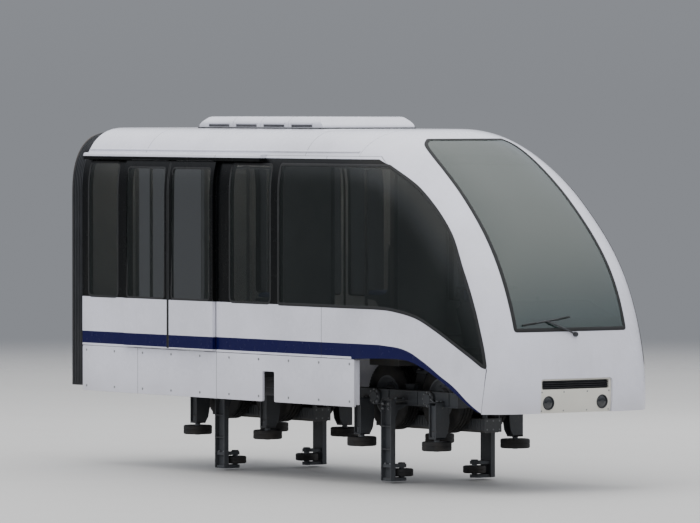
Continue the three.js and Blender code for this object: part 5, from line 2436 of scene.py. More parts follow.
@dataclass
class Saloon:
    """The passengers' room: benches, lights, rails, poles and trims."""

    bulkhead: tuple[float, float] = (0.14, 0.2)
    bench: tuple[float, float] = (0.4, 1.04)
    ceiling: float = 3.0995
    floor: float = 0.9505
    rail: tuple[float, float] = (0.545, 2.74)
    rail_ends: tuple[float, float] = (-3.2, -0.01)
    rail_drops: tuple[float, ...] = (-2.28, -1.24)
    poles: tuple[tuple[float, float], ...] = (
        (-2.68, 0.78), (-0.84, 0.78), (-2.68, -0.78), (-0.84, -0.78))

    def benches(self) -> None:
        """Builds the moulded shells, the cushions and the grab rails of both double seats."""
        seat = Pad(0.345, 0.295, 0.05, seams=(-0.09, 0.03))
        back = Pad(0.44, 0.295, 0.045, seams=(-0.12, 0.05))
        wall = self.bulkhead[0] - 0.0008
        profile = softened([
            (wall, 1.15), (wall, 1.9), (wall - 0.03, 1.9), (0.085, 1.885), (0.078, 1.45),
            (0.028, 1.385), (-0.33, 1.36), (-0.345, 1.338), (-0.16, 1.32), (0.02, 1.15)], 0.02)
        low, high = self.bench
        for side in Side:
            s, sketch = side.value, Sketch(side.value)
            for a in (low, (low + high) / 2 + 0.002):
                sketch.prism(profile, a, a + (high - low) / 2 - 0.002, "Y")
            sketch.fit(f"bench_shell_{side.label}", Slot.TRIM, SHELL_PLASTIC,
                       node=f"bench_{side.label}", edge=0.006, angle=40)
            for number, a in enumerate((0.56, 0.88), 1):
                tag = f"{side.label}_{number}"
                seat.place(f"bench_seat_pad_{tag}", (-0.152, s * a, 1.364), 4.6)
                back.place(f"bench_back_pad_{tag}", (0.081, s * a, 1.66), -88.0)
            sketch = Sketch(s)
            for a in (low + 0.02, high - 0.02):
                sketch.pipe([(0.1, a, 1.88), (0.09, a, 1.915), (0.06, a, 1.935)], 0.009, 10)
            sketch.pipe([(0.06, a, 1.935) for a in spaced(low + 0.02, high - 0.02, 0.1)], 0.013, 12)
            sketch.fit(f"bench_grab_rail_{side.label}", Slot.STEEL, STAINLESS)

    def ceiling_fittings(self) -> None:
        """Builds the light strips and the air outlet between them."""
        sketch, top = Sketch(), self.ceiling
        for y in (-0.4, 0.4):
            for x0, x1 in ((-3.32, -2.3), (-2.25, -1.1), (-1.05, 0.08)):
                sketch.block((x0, y - 0.085, top - 0.016), (x1, y + 0.085, top), 0.004)
                sketch.block((x0 + 0.014, y - 0.068, top - 0.024), (x1 - 0.014, y + 0.068, top - 0.01),
                             0.007, 1)
        for y in (-0.15, 0.135):
            sketch.block((-3.3, y, top - 0.014), (0.06, y + 0.015, top), 0.003)
        sketch.fit("ceiling_lights", Slot.TRIM, ALLOY, LIT_DIFFUSER)
        slats = [Spot((x, 0, top), (0, 0, -1), (0, 1, 0)) for x in spaced(-3.29, 0.05, 0.035)]
        SLATS.fit("ceiling_air_outlet", Slot.TRIM, slats, (0.272, 0.004, 0.013), DARK_PLASTIC)

    def rails(self) -> None:
        """Builds the upright poles and the two long grab rails with their flanges."""
        sketch, top, (rail_y, z) = Sketch(), self.ceiling, self.rail
        rear, front = self.rail_ends
        for y in (-rail_y, rail_y):
            line = [(rear, y, top), (rear, y, z + 0.05), (rear + 0.01, y, z + 0.01), (rear + 0.04, y, z)]
            line += [(x, y, z) for x in spaced(-3.0, -0.2, 0.35)]
            line += [(front - 0.04, y, z), (front - 0.01, y, z + 0.01), (front, y, z + 0.05),
                     (front, y, top)]
            sketch.pipe(line, 0.0165, 14)
            for x in self.rail_drops:
                sketch.pipe([(x, y, z), (x, y, top)], 0.012, 12)
            for x in (rear, *self.rail_drops, front):
                r = 0.036 if x in self.rail_ends else 0.03
                sketch.turned([(0, -0.008), (r - 0.003, -0.008), (r, -0.004), (r, 0), (0, 0)],
                              (x, y, top), "Z", 20)
        for x, y in self.poles:
            roof = BODY.roof(x, y) - 0.062
            sketch.pipe([(x, y, h) for h in (self.floor, 1.6, 2.3, roof)], 0.0175, 16)
            sketch.turned([(0, 0), (0.042, 0), (0.042, 0.006), (0.022, 0.016), (0, 0.016)],
                          (x, y, self.floor), "Z", 24)
        sketch.fit("grab_rails", Slot.STEEL, STAINLESS)

    def trims(self) -> None:
        """Builds the door's frame in the cab bulkhead, and dresses the nodes that stay."""
        x0, x1 = self.bulkhead
        hole = softened(rectangle((-0.4, 0.98), (0.4, 2.8)), 0.012)
        outer, inner = shrunk(hole, -0.035), shrunk(hole, 0.008)
        sketch = Sketch()
        sketch.loft(upright([
            (x0 - 0.007, outer), (x0 - 0.007, inner), (x1 + 0.007, inner), (x1 + 0.007, outer),
            (x1 + 0.0005, outer), (x1 + 0.0005, hole), (x0 - 0.0005, hole), (x0 - 0.0005, outer)]),
            closed=True)
        sketch.fit("cab_doorway_frame", Slot.TRIM, ALLOY, angle=40)
        dress_node("cab_bulkhead", WALL_PANEL)
        dress_node("underframe", FLOOR)

    def build(self) -> None:
        """Builds the room's fittings."""
        self.benches()
        self.ceiling_fittings()
        self.rails()
        self.trims()


@dataclass
class Cab:
    """The driver's desk and seat."""

    half: float = 0.8
    inset: float = 0.08
    seat_x: float = 2.45
    floor: float = 0.9505
    panel_at: tuple[float, float, float] = (2.975, 0.0, 1.3655)
    panel_rise: tuple[float, float] = (0.07, 0.15)

    def desk(self) -> None:
        """Builds the desk with its displays, buttons and controller."""
        profile = softened([(3.62, self.floor), (3.02, self.floor), (2.98, 1.12), (2.9, 1.33),
                            (3.05, 1.4), (3.2, 1.33), (3.56, 1.23), (3.62, 1.1)], 0.02)
        knee = softened([(2.8, 0.9), (3.3, 0.9), (3.3, 1.17), (3.05, 1.25), (2.8, 1.25)], 0.03)
        desk = BODY.solid(self.inset)
        desk.name = "control_desk"
        carve(desk, prism_tool(profile, -self.half, self.half, "Y"), Cut.WITHIN)
        carve(desk, prism_tool(knee, -0.3, 0.3, "Y"), Cut.AWAY)
        mounted(bevelled(desk, 0.006), (DESK_PLASTIC,), "driver_desk")
        turn = tilted(self.panel_at, -math.degrees(math.atan2(*self.panel_rise)))
        sketch = Sketch()
        for y in (-0.42, 0.0, 0.42):
            sketch.block((-0.06, y - 0.16, -0.004), (0.06, y + 0.16, 0.005), 0.003)
            sketch.block((-0.05, y - 0.148, 0.002), (0.05, y + 0.148, 0.0065), 0.0015, 1)
        sketch.turned([(0, 0), (0.026, 0), (0.026, 0.01), (0.009, 0.014), (0.008, 0.05),
                       (0.017, 0.056), (0.019, 0.07), (0.012, 0.082), (0, 0.084)],
                      (0.0, 0.22, 0.0), "Z", 20)
        sketch.turned([(0, 0), (0.024, 0), (0.024, 0.012), (0.019, 0.018), (0, 0.02)],
                      (0.0, -0.215, 0.0), "Z", 20, 2)
        sketch.points = [turn @ p for p in sketch.points]
        sketch.fit("desk_instruments", Slot.TRIM, DARK_PLASTIC, DISPLAY, STOP_RED)
        up = turn.to_3x3() @ Vector((0, 0, 1))
        spots = [Spot(turn @ Vector((x, y, 0.0)), up, (0, 1, 0)) for x in (-0.035, 0.0, 0.035)
                 for y in (-0.71, -0.675, -0.64, -0.605, 0.605, 0.64, 0.675, 0.71)]
        RIVETS.fit("desk_buttons", Slot.TRIM, spots, (0.022, 0.022, 0.007), DIFFUSER)

    def _pedestal(self, sketch: Sketch) -> None:
        """Adds the seat's foot: a flange, a folded boot and the slides.

        Args:
            sketch: where it is added.
        """
        x, z = self.seat_x, self.floor
        profile = [(0, 0), (0.07, 0), (0.07, 0.014), (0.045, 0.024), (0.045, 0.07)]
        for fold in range(6):
            low = 0.07 + 0.026 * fold
            profile += [(0.062, low + 0.007), (0.062, low + 0.013), (0.047, low + 0.024)]
        profile += [(0.069, 1.205 - z), (0.069, 1.222 - z), (0, 1.222 - z)]
        sketch.turned(profile, (x, 0, z), "Z", 32, 1)
        sketch.block((x - 0.2, -0.16, 1.213), (x + 0.2, 0.16, 1.232), 0.006, 1)

    def _back(self) -> bmesh.types.BMesh:
        """Cuts the shell of the seat's back to its outline.

        Returns:
            The open mesh.
        """
        x = self.seat_x
        shell = softened([(x - 0.247, 1.262), (x - 0.228, 1.262), (x - 0.325, 2.06),
                          (x - 0.348, 2.075)], 0.008)
        half = spline([(0.2, 1.25), (0.226, 1.4), (0.222, 1.66), (0.2, 1.82), (0.15, 1.91),
                       (0.135, 1.99), (0.12, 2.05), (0.07, 2.078)], 5)
        outline = half + [(-y, z) for y, z in reversed(half)]
        blank = prism_tool(shell, -0.23, 0.23, "Y")
        carve(blank, prism_tool(outline, x - 0.5, x, "X"), Cut.WITHIN)
        work = bmesh.new()
        work.from_mesh(blank.data)
        bpy.data.meshes.remove(blank.data)
        return work

    def seat(self) -> None:
        """Builds the driver's seat: pedestal, shells, armrests and cushions."""
        x, sketch = self.seat_x, Sketch()
        self._pedestal(sketch)
        pan = softened([(x - 0.24, 1.222), (x + 0.235, 1.228), (x + 0.247, 1.25),
                        (x + 0.24, 1.262), (x - 0.22, 1.25)], 0.01)
        sketch.prism(pan, -0.238, 0.238, "Y")
        for y, inner in ((-0.265, -0.1995), (0.265, 0.1715)):
            sketch.block((x - 0.24, y - 0.02, 1.5), (x + 0.06, y + 0.02, 1.53), 0.012, 2)
            sketch.pipe([(x - 0.255, y, 1.42), (x - 0.235, y, 1.49), (x - 0.2, y, 1.508)], 0.011, 10, 1)
            sketch.pipe([(x - 0.262, y, 1.43), (x - 0.262, inner, 1.43)], 0.011, 10, 1)
        sketch.take(self._back())
        sketch.fit("driver_seat_frame", Slot.TRIM, SHELL_PLASTIC, CASE_PAINT, SEAL,
                   node="driver_seat", edge=0.003)
        for name, length, width, thick, swell, seams, at, angle in (
            ("cushion", 0.455, 0.46, 0.082, 0.012, (-0.08, 0.09), (0.012, 1.2555), -0.8),
            ("back_cushion", 0.46, 0.4, 0.066, 0.01, (-0.12, 0.08), (-0.25856, 1.6), 82.6),
            ("headrest", 0.14, 0.24, 0.066, 0.01, (), (-0.3025425, 1.965), 82.6),
        ):
            Pad(length, width, thick, swell, 0.007, seams, True).place(
                f"driver_seat_{name}", (x + at[0], 0, at[1]), angle)

    def build(self) -> None:
        """Builds the cab's fittings."""
        self.desk()
        self.seat()


# The running gear


@dataclass
class Bogie:
    """One bogie with its welded frame, linear motor, and load, guide and stabiliser wheels.

    Sizes along the car count from the pivot.
    """

    end: str
    pivot: float
    axle_x: float = 0.47
    axle_z: float = 0.36
    guide_x: float = 0.66
    guide_y: float = 0.51
    stabiliser_y: float = 0.475
    lugs: int = 60
    spin: float = 3.0

    @staticmethod
    def _plates(sketch: Sketch, outline: Outline, stations: Sequence[float],
                thick: float = 0.012) -> None:
        """Adds the same crosswise plate, of (y, z) points, at several places along the car."""
        for at in stations:
            sketch.prism(outline, at - thick / 2, at + thick / 2, "X")

    def frame(self) -> None:
        """Builds the welded frame and its bolts."""
        c, sketch, bolts = self.pivot, Sketch(ahead=self.pivot), []
        web = softened([(-0.955, 0.285), (0.955, 0.285), (0.955, 0.4), (0.9, 0.434), (-0.9, 0.434),
                        (-0.955, 0.4)], 0.01)
        hub = [(0, 0.44), (0.088, 0.44), (0.088, 0.482), (0.082, 0.488), (0.06, 0.49),
               (0.055, 0.502), (0, 0.504)]
        for s in (-1, 1):
            sketch.flip = s
            sketch.prism(web, 0.364, 0.456, "Y")
            for x, z in ((0.96, 0.28), (0.895, 0.428)):
                sketch.block((-x, 0.352, z), (x, 0.468, z + 0.012), 0.003)
            for x in (-0.8, -0.25, 0.25, 0.8):
                sketch.block((x - 0.005, 0.455, 0.29), (x + 0.005, 0.466, 0.43), 0.002)
            for x in (-self.axle_x, self.axle_x):
                sketch.turned(hub, (x, 0, self.axle_z), "Y", 40)
                bolts += circle((c + x, s * 0.488, self.axle_z), (0, s, 0), 0.07, 8)
            for x in (-self.guide_x, self.guide_x):
                self._guide_arm(sketch, x)
                bolts += [Spot((c + x + a, s * b, 0.3395)) for a in (-0.038, 0.038)
                          for b in (0.482, 0.528)]
            self._stabiliser_arm(sketch)
            bolts += [Spot((c + a, s * b, 0.3495)) for a in (-0.06, 0.06) for b in (0.5, 0.6)]
            bolts += [Spot((c + a, s * 0.655, -0.3305)) for a in (-0.045, 0.045)]
            bolts += [Spot((c + a, s * 0.6795, z), (0, s, 0)) for a in (-0.05, 0.05)
                      for z in (0.25, 0.3)]
        for x in (-0.95, 0.88):
            sketch.block((x, -0.37, 0.285), (x + 0.07, 0.37, 0.375), 0.008)
            for y in (-0.25, 0.25):
                sketch.block((x - 0.006, y - 0.006, 0.282), (x + 0.076, y + 0.006, 0.378), 0.002)
        self._transom(sketch)
        body = f"{self.end}_bogie"
        sketch.fit(f"{body}_welded_frame", Slot.STEEL, BOGIE_PAINT, SEAL, node=f"{body}_frame",
                   body=body, angle=30)
        bolts += circle((c, 0, 0.6385), (0, 0, 1), 0.213, 12)
        BOLTS.fit(f"{body}_frame_bolts", Slot.STEEL, bolts, (0.02, 0.02, 0.012), BOLT_METAL,
                  self.spin, body)

    def _guide_arm(self, sketch: Sketch, x: float) -> None:
        """Adds one guide wheel's hanger: two webs, their flanges and the wheel's bearing.

        Args:
            sketch: where it is added.
            x: where it is along the car.
        """
        arm = softened([(0.43, 0.278), (0.43, 0.34), (0.545, 0.34), (0.568, 0.31), (0.568, -0.046),
                        (0.45, -0.046), (0.41, 0.02), (0.392, 0.12), (0.392, 0.278)], 0.012)
        self._plates(sketch, arm, (x - 0.054, x + 0.054))
        sketch.block((x - 0.05, 0.535, -0.03), (x + 0.05, 0.545, 0.3), 0.003)
        for z0, z1 in ((-0.0495, -0.03), (0.328, 0.34)):
            sketch.block((x - 0.06, 0.445, z0), (x + 0.06, 0.57, z1), 0.004)
        sketch.turned([(0, 0), (0.052, 0), (0.052, 0.07), (0.046, 0.076), (0, 0.078)],
                      (x, self.guide_y, -0.04), "Z", 28)

    def _stabiliser_arm(self, sketch: Sketch) -> None:
        """Adds one stabiliser wheel's hanger: channel leg, brackets and two shelves.

        Args:
            sketch: where it is added.
        """
        sketch.block((-0.086, 0.622, -0.5), (0.086, 0.634, 0.345), 0.003)
        side = softened([(0.622, -0.505), (0.679, -0.505), (0.679, 0.33), (0.66, 0.35),
                         (0.622, 0.35)], 0.008)
        self._plates(sketch, side, (-0.084, 0.084))
        for z in (-0.18, 0.06):
            sketch.block((-0.08, 0.632, z), (0.08, 0.677, z + 0.01), 0.002)
        for z0, z1 in ((0.334, 0.349), (0.281, 0.294)):
            sketch.block((-0.088, 0.458, z0), (0.088, 0.66, z1), 0.004)
        gusset = [(0.46, 0.29), (0.625, 0.29), (0.625, 0.12), (0.6, 0.13), (0.56, 0.23), (0.46, 0.27)]
        self._plates(sketch, gusset, (-0.05, 0.05), 0.01)
        shelf = [(-0.072, 0.665)]
        shelf += [(-0.068 * math.cos(t), 0.498 - 0.068 * math.sin(t))
                  for t in np.linspace(0, math.pi, 15)]
        shelf.append((0.072, 0.665))
        for z0, z1 in ((-0.5075, -0.4745), (-0.3655, -0.3325)):
            sketch.prism(shelf, z0, z1, "Z")
        sketch.turned([(0, 0), (0.04, 0), (0.04, 0.012), (0.034, 0.017), (0, 0.018)],
                      (0, self.stabiliser_y, -0.3335), "Z", 24)

    def _transom(self, sketch: Sketch) -> None:
        """Adds the transom with its tower, gussets and the pivot bearing on top.

        Args:
            sketch: where it is added.
        """
        for x, y, z0, z1, edge in ((0.088, 0.37, 0.3, 0.314, 0.004), (0.088, 0.37, 0.488, 0.5, 0.004),
                                   (0.074, 0.366, 0.305, 0.495, 0.005)):
            sketch.block((-x, -y, z0), (x, y, z1), edge)
        for y in (-0.33, 0.33):
            sketch.block((-0.086, y - 0.006, 0.31), (0.086, y + 0.006, 0.49), 0.002)
        tower = softened([(-0.25, 0.49), (0.25, 0.49), (0.215, 0.612), (-0.215, 0.612)], 0.01)
        self._plates(sketch, tower, (0,), 0.15)
        rib = [(-0.245, 0.49), (0.245, 0.49), (0.2, 0.61), (-0.2, 0.61)]
        self._plates(sketch, rib, (-0.0815, 0.0815))
        foot = [(0, 0.606), (0.228, 0.606), (0.23, 0.61), (0.23, 0.634), (0.226, 0.638),
                (0.19, 0.638), (0.19, 0.64), (0, 0.64)]
        rubber = [(0, 0.638), (0.168, 0.638), (0.18, 0.645), (0.183, 0.652), (0.176, 0.659),
                  (0.183, 0.666), (0.18, 0.674), (0.168, 0.682), (0, 0.682)]
        top = [(0, 0.68), (0.2, 0.68), (0.2, 0.6994), (0, 0.6994)]
        for profile, slot in ((foot, 0), (rubber, 1), (top, 0)):
            sketch.turned(profile, (0, 0, 0), "Z", 64, slot)

    def motor(self) -> None:
        """Builds the linear motor between the tyres."""
        c, body, sketch = self.pivot, f"{self.end}_bogie", Sketch(ahead=self.pivot)
        sketch.block((-0.955, -0.104, 0.04), (0.955, 0.104, 0.162), 0.01)
        sketch.block((-0.93, -0.086, 0.0155), (0.93, 0.086, 0.05), 0.003, 1)
        for x in (-0.957, 0.947):
            sketch.block((x, -0.109, 0.022), (x + 0.01, 0.109, 0.165), 0.003)
        sketch.block((-0.13, -0.075, 0.158), (0.13, 0.075, 0.215), 0.008)
        sketch.block((-0.135, -0.08, 0.213), (0.135, 0.08, 0.222), 0.003)
        for x in (-0.955, 0.885):
            for y in (-0.088, 0.074):
                sketch.block((x, y, 0.155), (x + 0.07, y + 0.014, 0.272), 0.003)
            sketch.block((x - 0.003, -0.09, 0.266), (x + 0.073, 0.09, 0.2792), 0.004)
        sketch.fit(f"{self.end}_linear_motor_case", Slot.MOTOR, MOTOR_PAINT, LAMINATIONS,
                   node=f"{self.end}_linear_motor", body=body)
        ribs = [Spot((c + x, s * 0.1035, 0.1), (0, s, 0), (0, 0, 1)) for s in (-1, 1)
                for x in spaced(-0.92, 0.92, 0.046)]
        LUGS.fit(f"{self.end}_linear_motor_ribs", Slot.MOTOR, ribs, (0.1, 0.006, 0.0062),
                 MOTOR_PAINT, body=body)
        spots = [Spot((c + x, y, 0.2215)) for x in (-0.115, 0.0, 0.115) for y in (-0.062, 0.062)]
        spots += [Spot((c + s * 0.957, y, z), (s, 0, 0)) for s in (-1, 1) for y in (-0.08, 0, 0.08)
                  for z in (0.05, 0.14)]
        BOLTS.fit(f"{self.end}_linear_motor_bolts", Slot.MOTOR, spots, (0.014, 0.014, 0.003),
                  BOLT_METAL, self.spin, body)

    def wheelset(self, axle: str, x: float) -> None:
        """Builds one axle with its two tyred wheels and its brake disc.

        Args:
            axle: leading or trailing.
            x: where it is along the car.
        """
        sketch, lugs, bolts = Sketch(), [], []
        at = (x, 0, self.axle_z)
        wheel = [(0.045, 0.1), (0.07, 0.106), (0.07, 0.135), (0.12, 0.146), (0.186, 0.152),
                 (0.2, 0.136), (0.214, 0.133), (0.214, 0.139), (0.206, 0.144), (0.206, 0.306),
                 (0.214, 0.311), (0.214, 0.317), (0.2, 0.318), (0.187, 0.29), (0.168, 0.273),
                 (0.128, 0.266), (0.113, 0.272), (0.108, 0.306), (0.1, 0.316), (0.06, 0.318),
                 (0.055, 0.326), (0.045, 0.327), (0.045, 0.3592)]
        disc = [(0.045, 0.045), (0.075, 0.04), (0.075, 0.013), (0.145, 0.012), (0.147, 0.01)]
        half = [*reversed(disc), *wheel, (0, 0.3592)]
        sketch.turned([(r, -h) for r, h in reversed(half)] + half, at, "Y", 72, 1)
        tread = [point for y in (0.185, 0.225, 0.265) for point in (
            (0.356, y - 0.006), (0.347, y - 0.0045), (0.347, y + 0.0045), (0.356, y + 0.006))]
        tyre = [(0.2065, 0.142), (0.222, 0.1315), (0.262, 0.1305), (0.31, 0.1318), (0.338, 0.138),
                (0.352, 0.15), (0.356, 0.162), *tread, (0.356, 0.288), (0.352, 0.3),
                (0.338, 0.312), (0.31, 0.3182), (0.262, 0.3195), (0.222, 0.3185), (0.2065, 0.308)]
        for s in (-1, 1):
            sketch.flip = s
            sketch.turned(tyre, at, "Y", 96, 0, True)
            for turn in (2 * math.pi * k / self.lugs for k in range(self.lugs)):
                out = Vector((math.sin(turn), 0, math.cos(turn)))
                lugs += [Spot(Vector((x, s * y, self.axle_z)) + out * 0.3553, out, (0, 1, 0))
                         for y in (0.1625, 0.205, 0.245, 0.2875)]
            for y, radius, count in ((0.2705, 0.146, 10), (0.3175, 0.08, 8)):
                bolts += circle((x, s * y, self.axle_z), (0, s, 0), radius, count)
        node = f"{self.end}_bogie_{axle}_wheelset"
        body = f"{node}_body"
        sketch.fit(f"{node}_turned", Slot.TYRE, TYRE_RUBBER, RIM_PAINT, node=node, body=body)
        LUGS.fit(f"{node}_tread", Slot.TYRE, lugs, (0.027, 0.028, 0.0045), TYRE_RUBBER, body=body)
        BOLTS.fit(f"{node}_bolts", Slot.STEEL, bolts, (0.017, 0.017, 0.009), BOLT_METAL, self.spin,
                  body)

    def roller(self, node: str, bottom: float, top: float) -> None:
        """Builds one guide or stabiliser wheel inside its CAD node's box.

        Args:
            node: the CAD node.
            bottom: its tyre's lower face.
            top: its tyre's upper face.
        """
        low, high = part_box(node)
        x, y = (low.x + high.x) / 2, (low.y + high.y) / 2
        radius, middle = (high.x - low.x) / 2 - 0.0005, (bottom + top) / 2
        rim = radius - 0.036
        tyre = [(rim, bottom + 0.006), (radius - 0.014, bottom + 0.001),
                (radius - 0.004, bottom + 0.006), (radius, bottom + 0.015),
                (radius, middle - 0.004), (radius - 0.003, middle), (radius, middle + 0.004),
                (radius, top - 0.015), (radius - 0.004, top - 0.006), (radius - 0.014, top - 0.001),
                (rim, top - 0.006)]
        foot, head = low.z + 0.0004, high.z - 0.0004
        hub = [(0, foot), (0.029, foot), (0.029, bottom + 0.01), (0.042, bottom + 0.012),
               (0.045, bottom + 0.02), (rim - 0.012, bottom + 0.026), (rim - 0.004, bottom + 0.007),
               (rim + 0.002, bottom + 0.007), (rim + 0.002, top - 0.007), (rim - 0.004, top - 0.007),
               (rim - 0.012, top - 0.026), (0.045, top - 0.02), (0.042, top - 0.012),
               (0.029, top - 0.01), (0.029, head), (0, head)]
        sketch = Sketch()
        sketch.turned(tyre, (x, y, 0), "Z", 64, 0, True)
        sketch.turned(hub, (x, y, 0), "Z", 48, 1)
        body = f"{node}_body"
        sketch.fit(f"{node}_turned", Slot.TYRE, TYRE_RUBBER, RIM_PAINT, node=node, body=body)
        spots = [spot for z, way in ((bottom + 0.0235, -1), (top - 0.0235, 1))
                 for spot in circle((x, y, z), (0, 0, way), (rim + 0.03) / 2, 6)]
        BOLTS.fit(f"{node}_bolts", Slot.STEEL, spots, (0.011, 0.011, 0.006), BOLT_METAL, self.spin,
                  body)

    def build(self) -> None:
        """Builds the bogie."""
        self.frame()
        self.motor()
        for axle, way in (("leading", 1), ("trailing", -1)):
            self.wheelset(axle, self.pivot + way * self.axle_x)
            for side in Side:
                self.roller(f"{self.end}_bogie_{axle}_guide_wheel_{side.label}", -0.17, -0.07)
        for side in Side:
            self.roller(f"{self.end}_bogie_stabiliser_wheel_{side.label}", -0.46, -0.38)


@dataclass
class Underfloor:
    """What hangs under the floor between the bogies: gear cases, cable trays and stiffeners."""

    half: float = 0.48
    near: float = 0.705
    far: float = 0.93
    bottom: float = 0.33
    top: float = 0.7694
    tray: tuple[float, float] = (0.62, 0.69)
    stiffeners: tuple[float, ...] = (
        -2.3, -2.05, -0.95, -0.63, -0.32, 0.32, 0.63, 0.95, 2.05, 2.35, 2.65)

    def case(self, side: Side) -> None:
        """Builds one gear case with its doors, louvres, latches and hinges.

        Args:
            side: the case's side.
        """
        s, sketch, louvres, pins = side.value, Sketch(side.value), [], []
        half, far, low, top = self.half, self.far, self.bottom, self.top
        sketch.block((-half, self.near + 0.002, low), (half, far - 0.008, top), 0.014)
        for x0, x1 in ((0.02 - half, -0.008), (0.008, half - 0.02)):
            sketch.block((x0, far - 0.012, low + 0.025), (x1, far, top - 0.03), 0.004)
            louvres += [Spot(((x0 + x1) / 2, s * (far - 0.001), z), (0, s, 0))
                        for z in spaced(low + 0.09, low + 0.19, 0.018)]
            for x in (x0 + 0.06, x1 - 0.06):
                for w, z0, z1, edge in ((0.022, top - 0.038, top - 0.02, 0.003),
                                        (0.013, low + 0.03, low + 0.062, 0.004)):
                    sketch.block((x - w, far - 0.002, z0), (x + w, far + 0.009, z1), edge, 1)
            pins += [Spot((x, s * far, z), (0, s, 0)) for x in (x0 + 0.02, x1 - 0.02)
                     for z in spaced(low + 0.1, top - 0.07, 0.11)]
        label = side.label
        sketch.fit(f"gear_case_{label}", Slot.MOTOR, CASE_PAINT, BOLT_METAL,
                   node=f"equipment_case_{label}")
        SLATS.fit(f"gear_case_louvres_{label}", Slot.MOTOR, louvres, (0.3, 0.014, 0.004), CASE_PAINT)
        RIVETS.fit(f"gear_case_screws_{label}", Slot.STEEL, pins, (0.014, 0.014, 0.003), BOLT_METAL)

    def trays(self) -> None:
        """Builds the cable trays inside the sills and the floor's stiffeners."""
        sketch, (near, far) = Sketch(), self.tray
        for s in (-1, 1):
            sketch.flip = s
            for x0, x1 in ((-1.22, -0.06), (0.06, 1.22)):
                sketch.block((x0, near, 0.82), (x1, far, 0.872), 0.004, 1)
                for x in spaced(x0 + 0.12, x1 - 0.12, 0.3):
                    sketch.block((x - 0.012, near - 0.003, 0.816), (x + 0.012, far + 0.003, 0.8795),
                                 0.002, 1)
        for x in self.stiffeners:
            for z0, z1, w in ((0.835, 0.8795, 0.004), (0.829, 0.837, 0.02)):
                sketch.block((x - w, -far, z0), (x + w, far, z1), 0.002)
        sketch.fit("floor_stiffeners", Slot.STEEL, MOTOR_PAINT, ALLOY)

    def build(self) -> None:
        """Builds what hangs under the floor."""
        for side in Side:
            self.case(side)
        self.trays()


# The studio


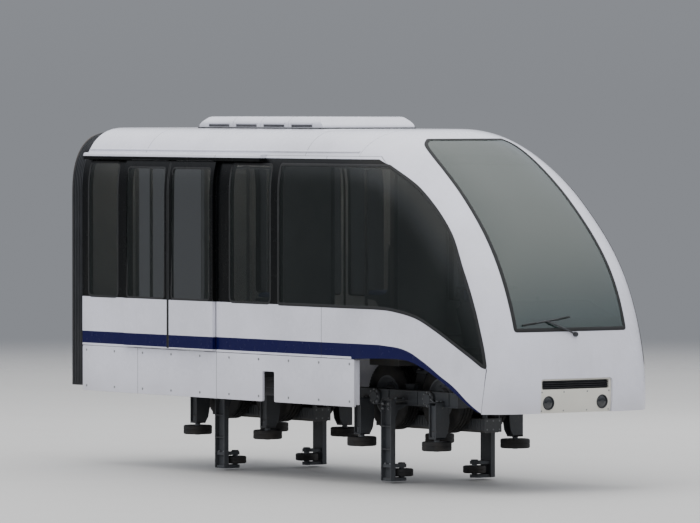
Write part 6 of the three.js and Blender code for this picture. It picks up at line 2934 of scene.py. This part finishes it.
@dataclass
class Studio:
    """The plain floor, the soft light and the camera."""

    floor: float = -0.53
    reach: float = 60.0
    fade: tuple[float, float] = (26.0, 16.0)
    ground_colours: tuple[str, str] = ("#b2b1af", "#a8a7a5")
    sky: tuple[tuple[float, str], ...] = (
        (0.0, "#5f6165"), (0.12, "#6e7074"), (0.42, "#c6cad2"), (0.8, "#ffffff"))
    sky_strength: float = 2.2
    box_power: float = 260.0
    boxes: tuple[tuple[str, Point], ...] = (
        ("front_box", (15.0, -9.0, 5.0)), ("side_box", (-2.0, -14.0, 4.0)),
        ("far_box", (-4.0, 13.0, 6.0)))
    camera_at: tuple[float, float, float] = (58.033, -42.017, 3.5)
    centre: tuple[float, float] = (378.0, 224.9)
    width: float = 76.0
    focal: float = 730.0
    vanishing: tuple[float, float] = (392.3, 207.0)
    bearing: float = 53.0
    sensor: float = 36.0

    @staticmethod
    def _placed(data: Any, name: str, at: Point, look: Vector) -> Object:
        """Puts a camera or a light at a point.

        Args:
            data: the camera or the light.
            name: its name.
            at: the point.
            look: the way that it faces.

        Returns:
            Its object.
        """
        made = bpy.data.objects.new(name, data)
        made.location = at
        made.rotation_euler = look.to_track_quat("-Z", "Y").to_euler()
        bpy.context.scene.collection.objects.link(made)
        return made

    def camera(self) -> None:
        """Sets the camera at the photograph's viewing angle."""
        turn = math.radians(self.bearing)
        back = Vector((math.sin(turn), -math.cos(turn), 0))
        right = Vector((math.cos(turn), math.sin(turn), 0))
        lat, down = ((c - v) / self.focal for c, v in zip(self.centre, self.vanishing))
        lens = bpy.data.cameras.new("camera")
        lens.sensor_width = self.sensor
        lens.lens = self.sensor * self.focal / self.width
        lens.clip_end = 500.0
        look = right * lat - back - Vector((0, 0, down))
        bpy.context.scene.camera = self._placed(lens, "camera", self.camera_at, look)

    def ground(self) -> None:
        """Lays the floor, which fades out into the pale surroundings."""
        board = Board("studio_floor")
        far = board.node("ShaderNodeVectorMath", {"operation": "LENGTH"}, {0: board.place}, "Value")
        dust = board.noise(0.7, 4.0)
        shader = board.shade(base_color=board.mix(dust * 0.3, *self.ground_colours),
                             roughness=dust.remap(0.55, 0.7), alpha=far.below(*self.fade))
        sketch = Sketch()
        sketch.turned([(0, -0.05), (self.reach, -0.05), (self.reach, 0.0), (0, 0.0)],
                      (0, 0, self.floor), "Z", 64)
        made = link(sketch.mesh("studio_floor"), "studio_floor")
        made.data.materials.append(board.close(shader))

    def lamp(self, name: str, at: Point, aim: Point, size: float, power: float,
             colour: Point = (1, 1, 1)) -> None:
        """Hangs one square soft box.

        Args:
            name: its name.
            at: where it is.
            aim: the point that it faces.
            size: how wide it is.
            power: its power in watts.
            colour: its light's red, green and blue.
        """
        light = bpy.data.lights.new(name, "AREA")
        light.energy, light.size, light.color = power, size, colour
        self._placed(light, name, at, Vector(aim) - Vector(at)).visible_glossy = False

    def lights(self) -> None:
        """Lights the car softly from above, with a weaker light from the front and sides."""
        world = bpy.data.worlds.new("studio")
        bpy.context.scene.world = world
        world.use_nodes = True
        graph = Graph(world.node_tree)
        way = graph.node("ShaderNodeTexCoord", output="Generated")
        up = graph.node("ShaderNodeSeparateXYZ", inputs={0: way}, output="Z")
        backdrop = graph.tree.nodes["Background"].inputs
        graph.feed(backdrop["Color"], graph.node("ShaderNodeValToRGB", {"stops": self.sky}, {0: up}))
        graph.feed(backdrop["Strength"], self.sky_strength)
        self.lamp("sky_box", (0.5, -1.0, 12.0), (0.3, 0, 1.5), 11.0, 500.0, (0.96, 0.98, 1.0))
        for name, at in self.boxes:
            self.lamp(name, at, (0.5, 0, 0.6), 6.0, self.box_power)

    def build(self) -> None:
        """Clears what Blender starts with and builds the studio."""
        for held in list(bpy.data.objects):
            if held.type in {"LIGHT", "CAMERA"} or held.name == "Cube":
                bpy.data.objects.remove(held)
        self.camera()
        self.ground()
        self.lights()


def main() -> None:
    """Builds the car's pieces in order."""
    logging.basicConfig(level=logging.INFO, format="%(message)s")
    skin = Skin()
    parts = (Studio(), skin, Glass(skin), DoorPair(Side.RIGHT), DoorPair(Side.LEFT), Gangway(),
             RoofCasing(), FrontPanel(), Saloon(), Cab(), Bogie("front", 1.52), Bogie("rear", -1.52),
             Underfloor())
    for part in parts:
        part.build()


if __name__ == "__main__":
    main()
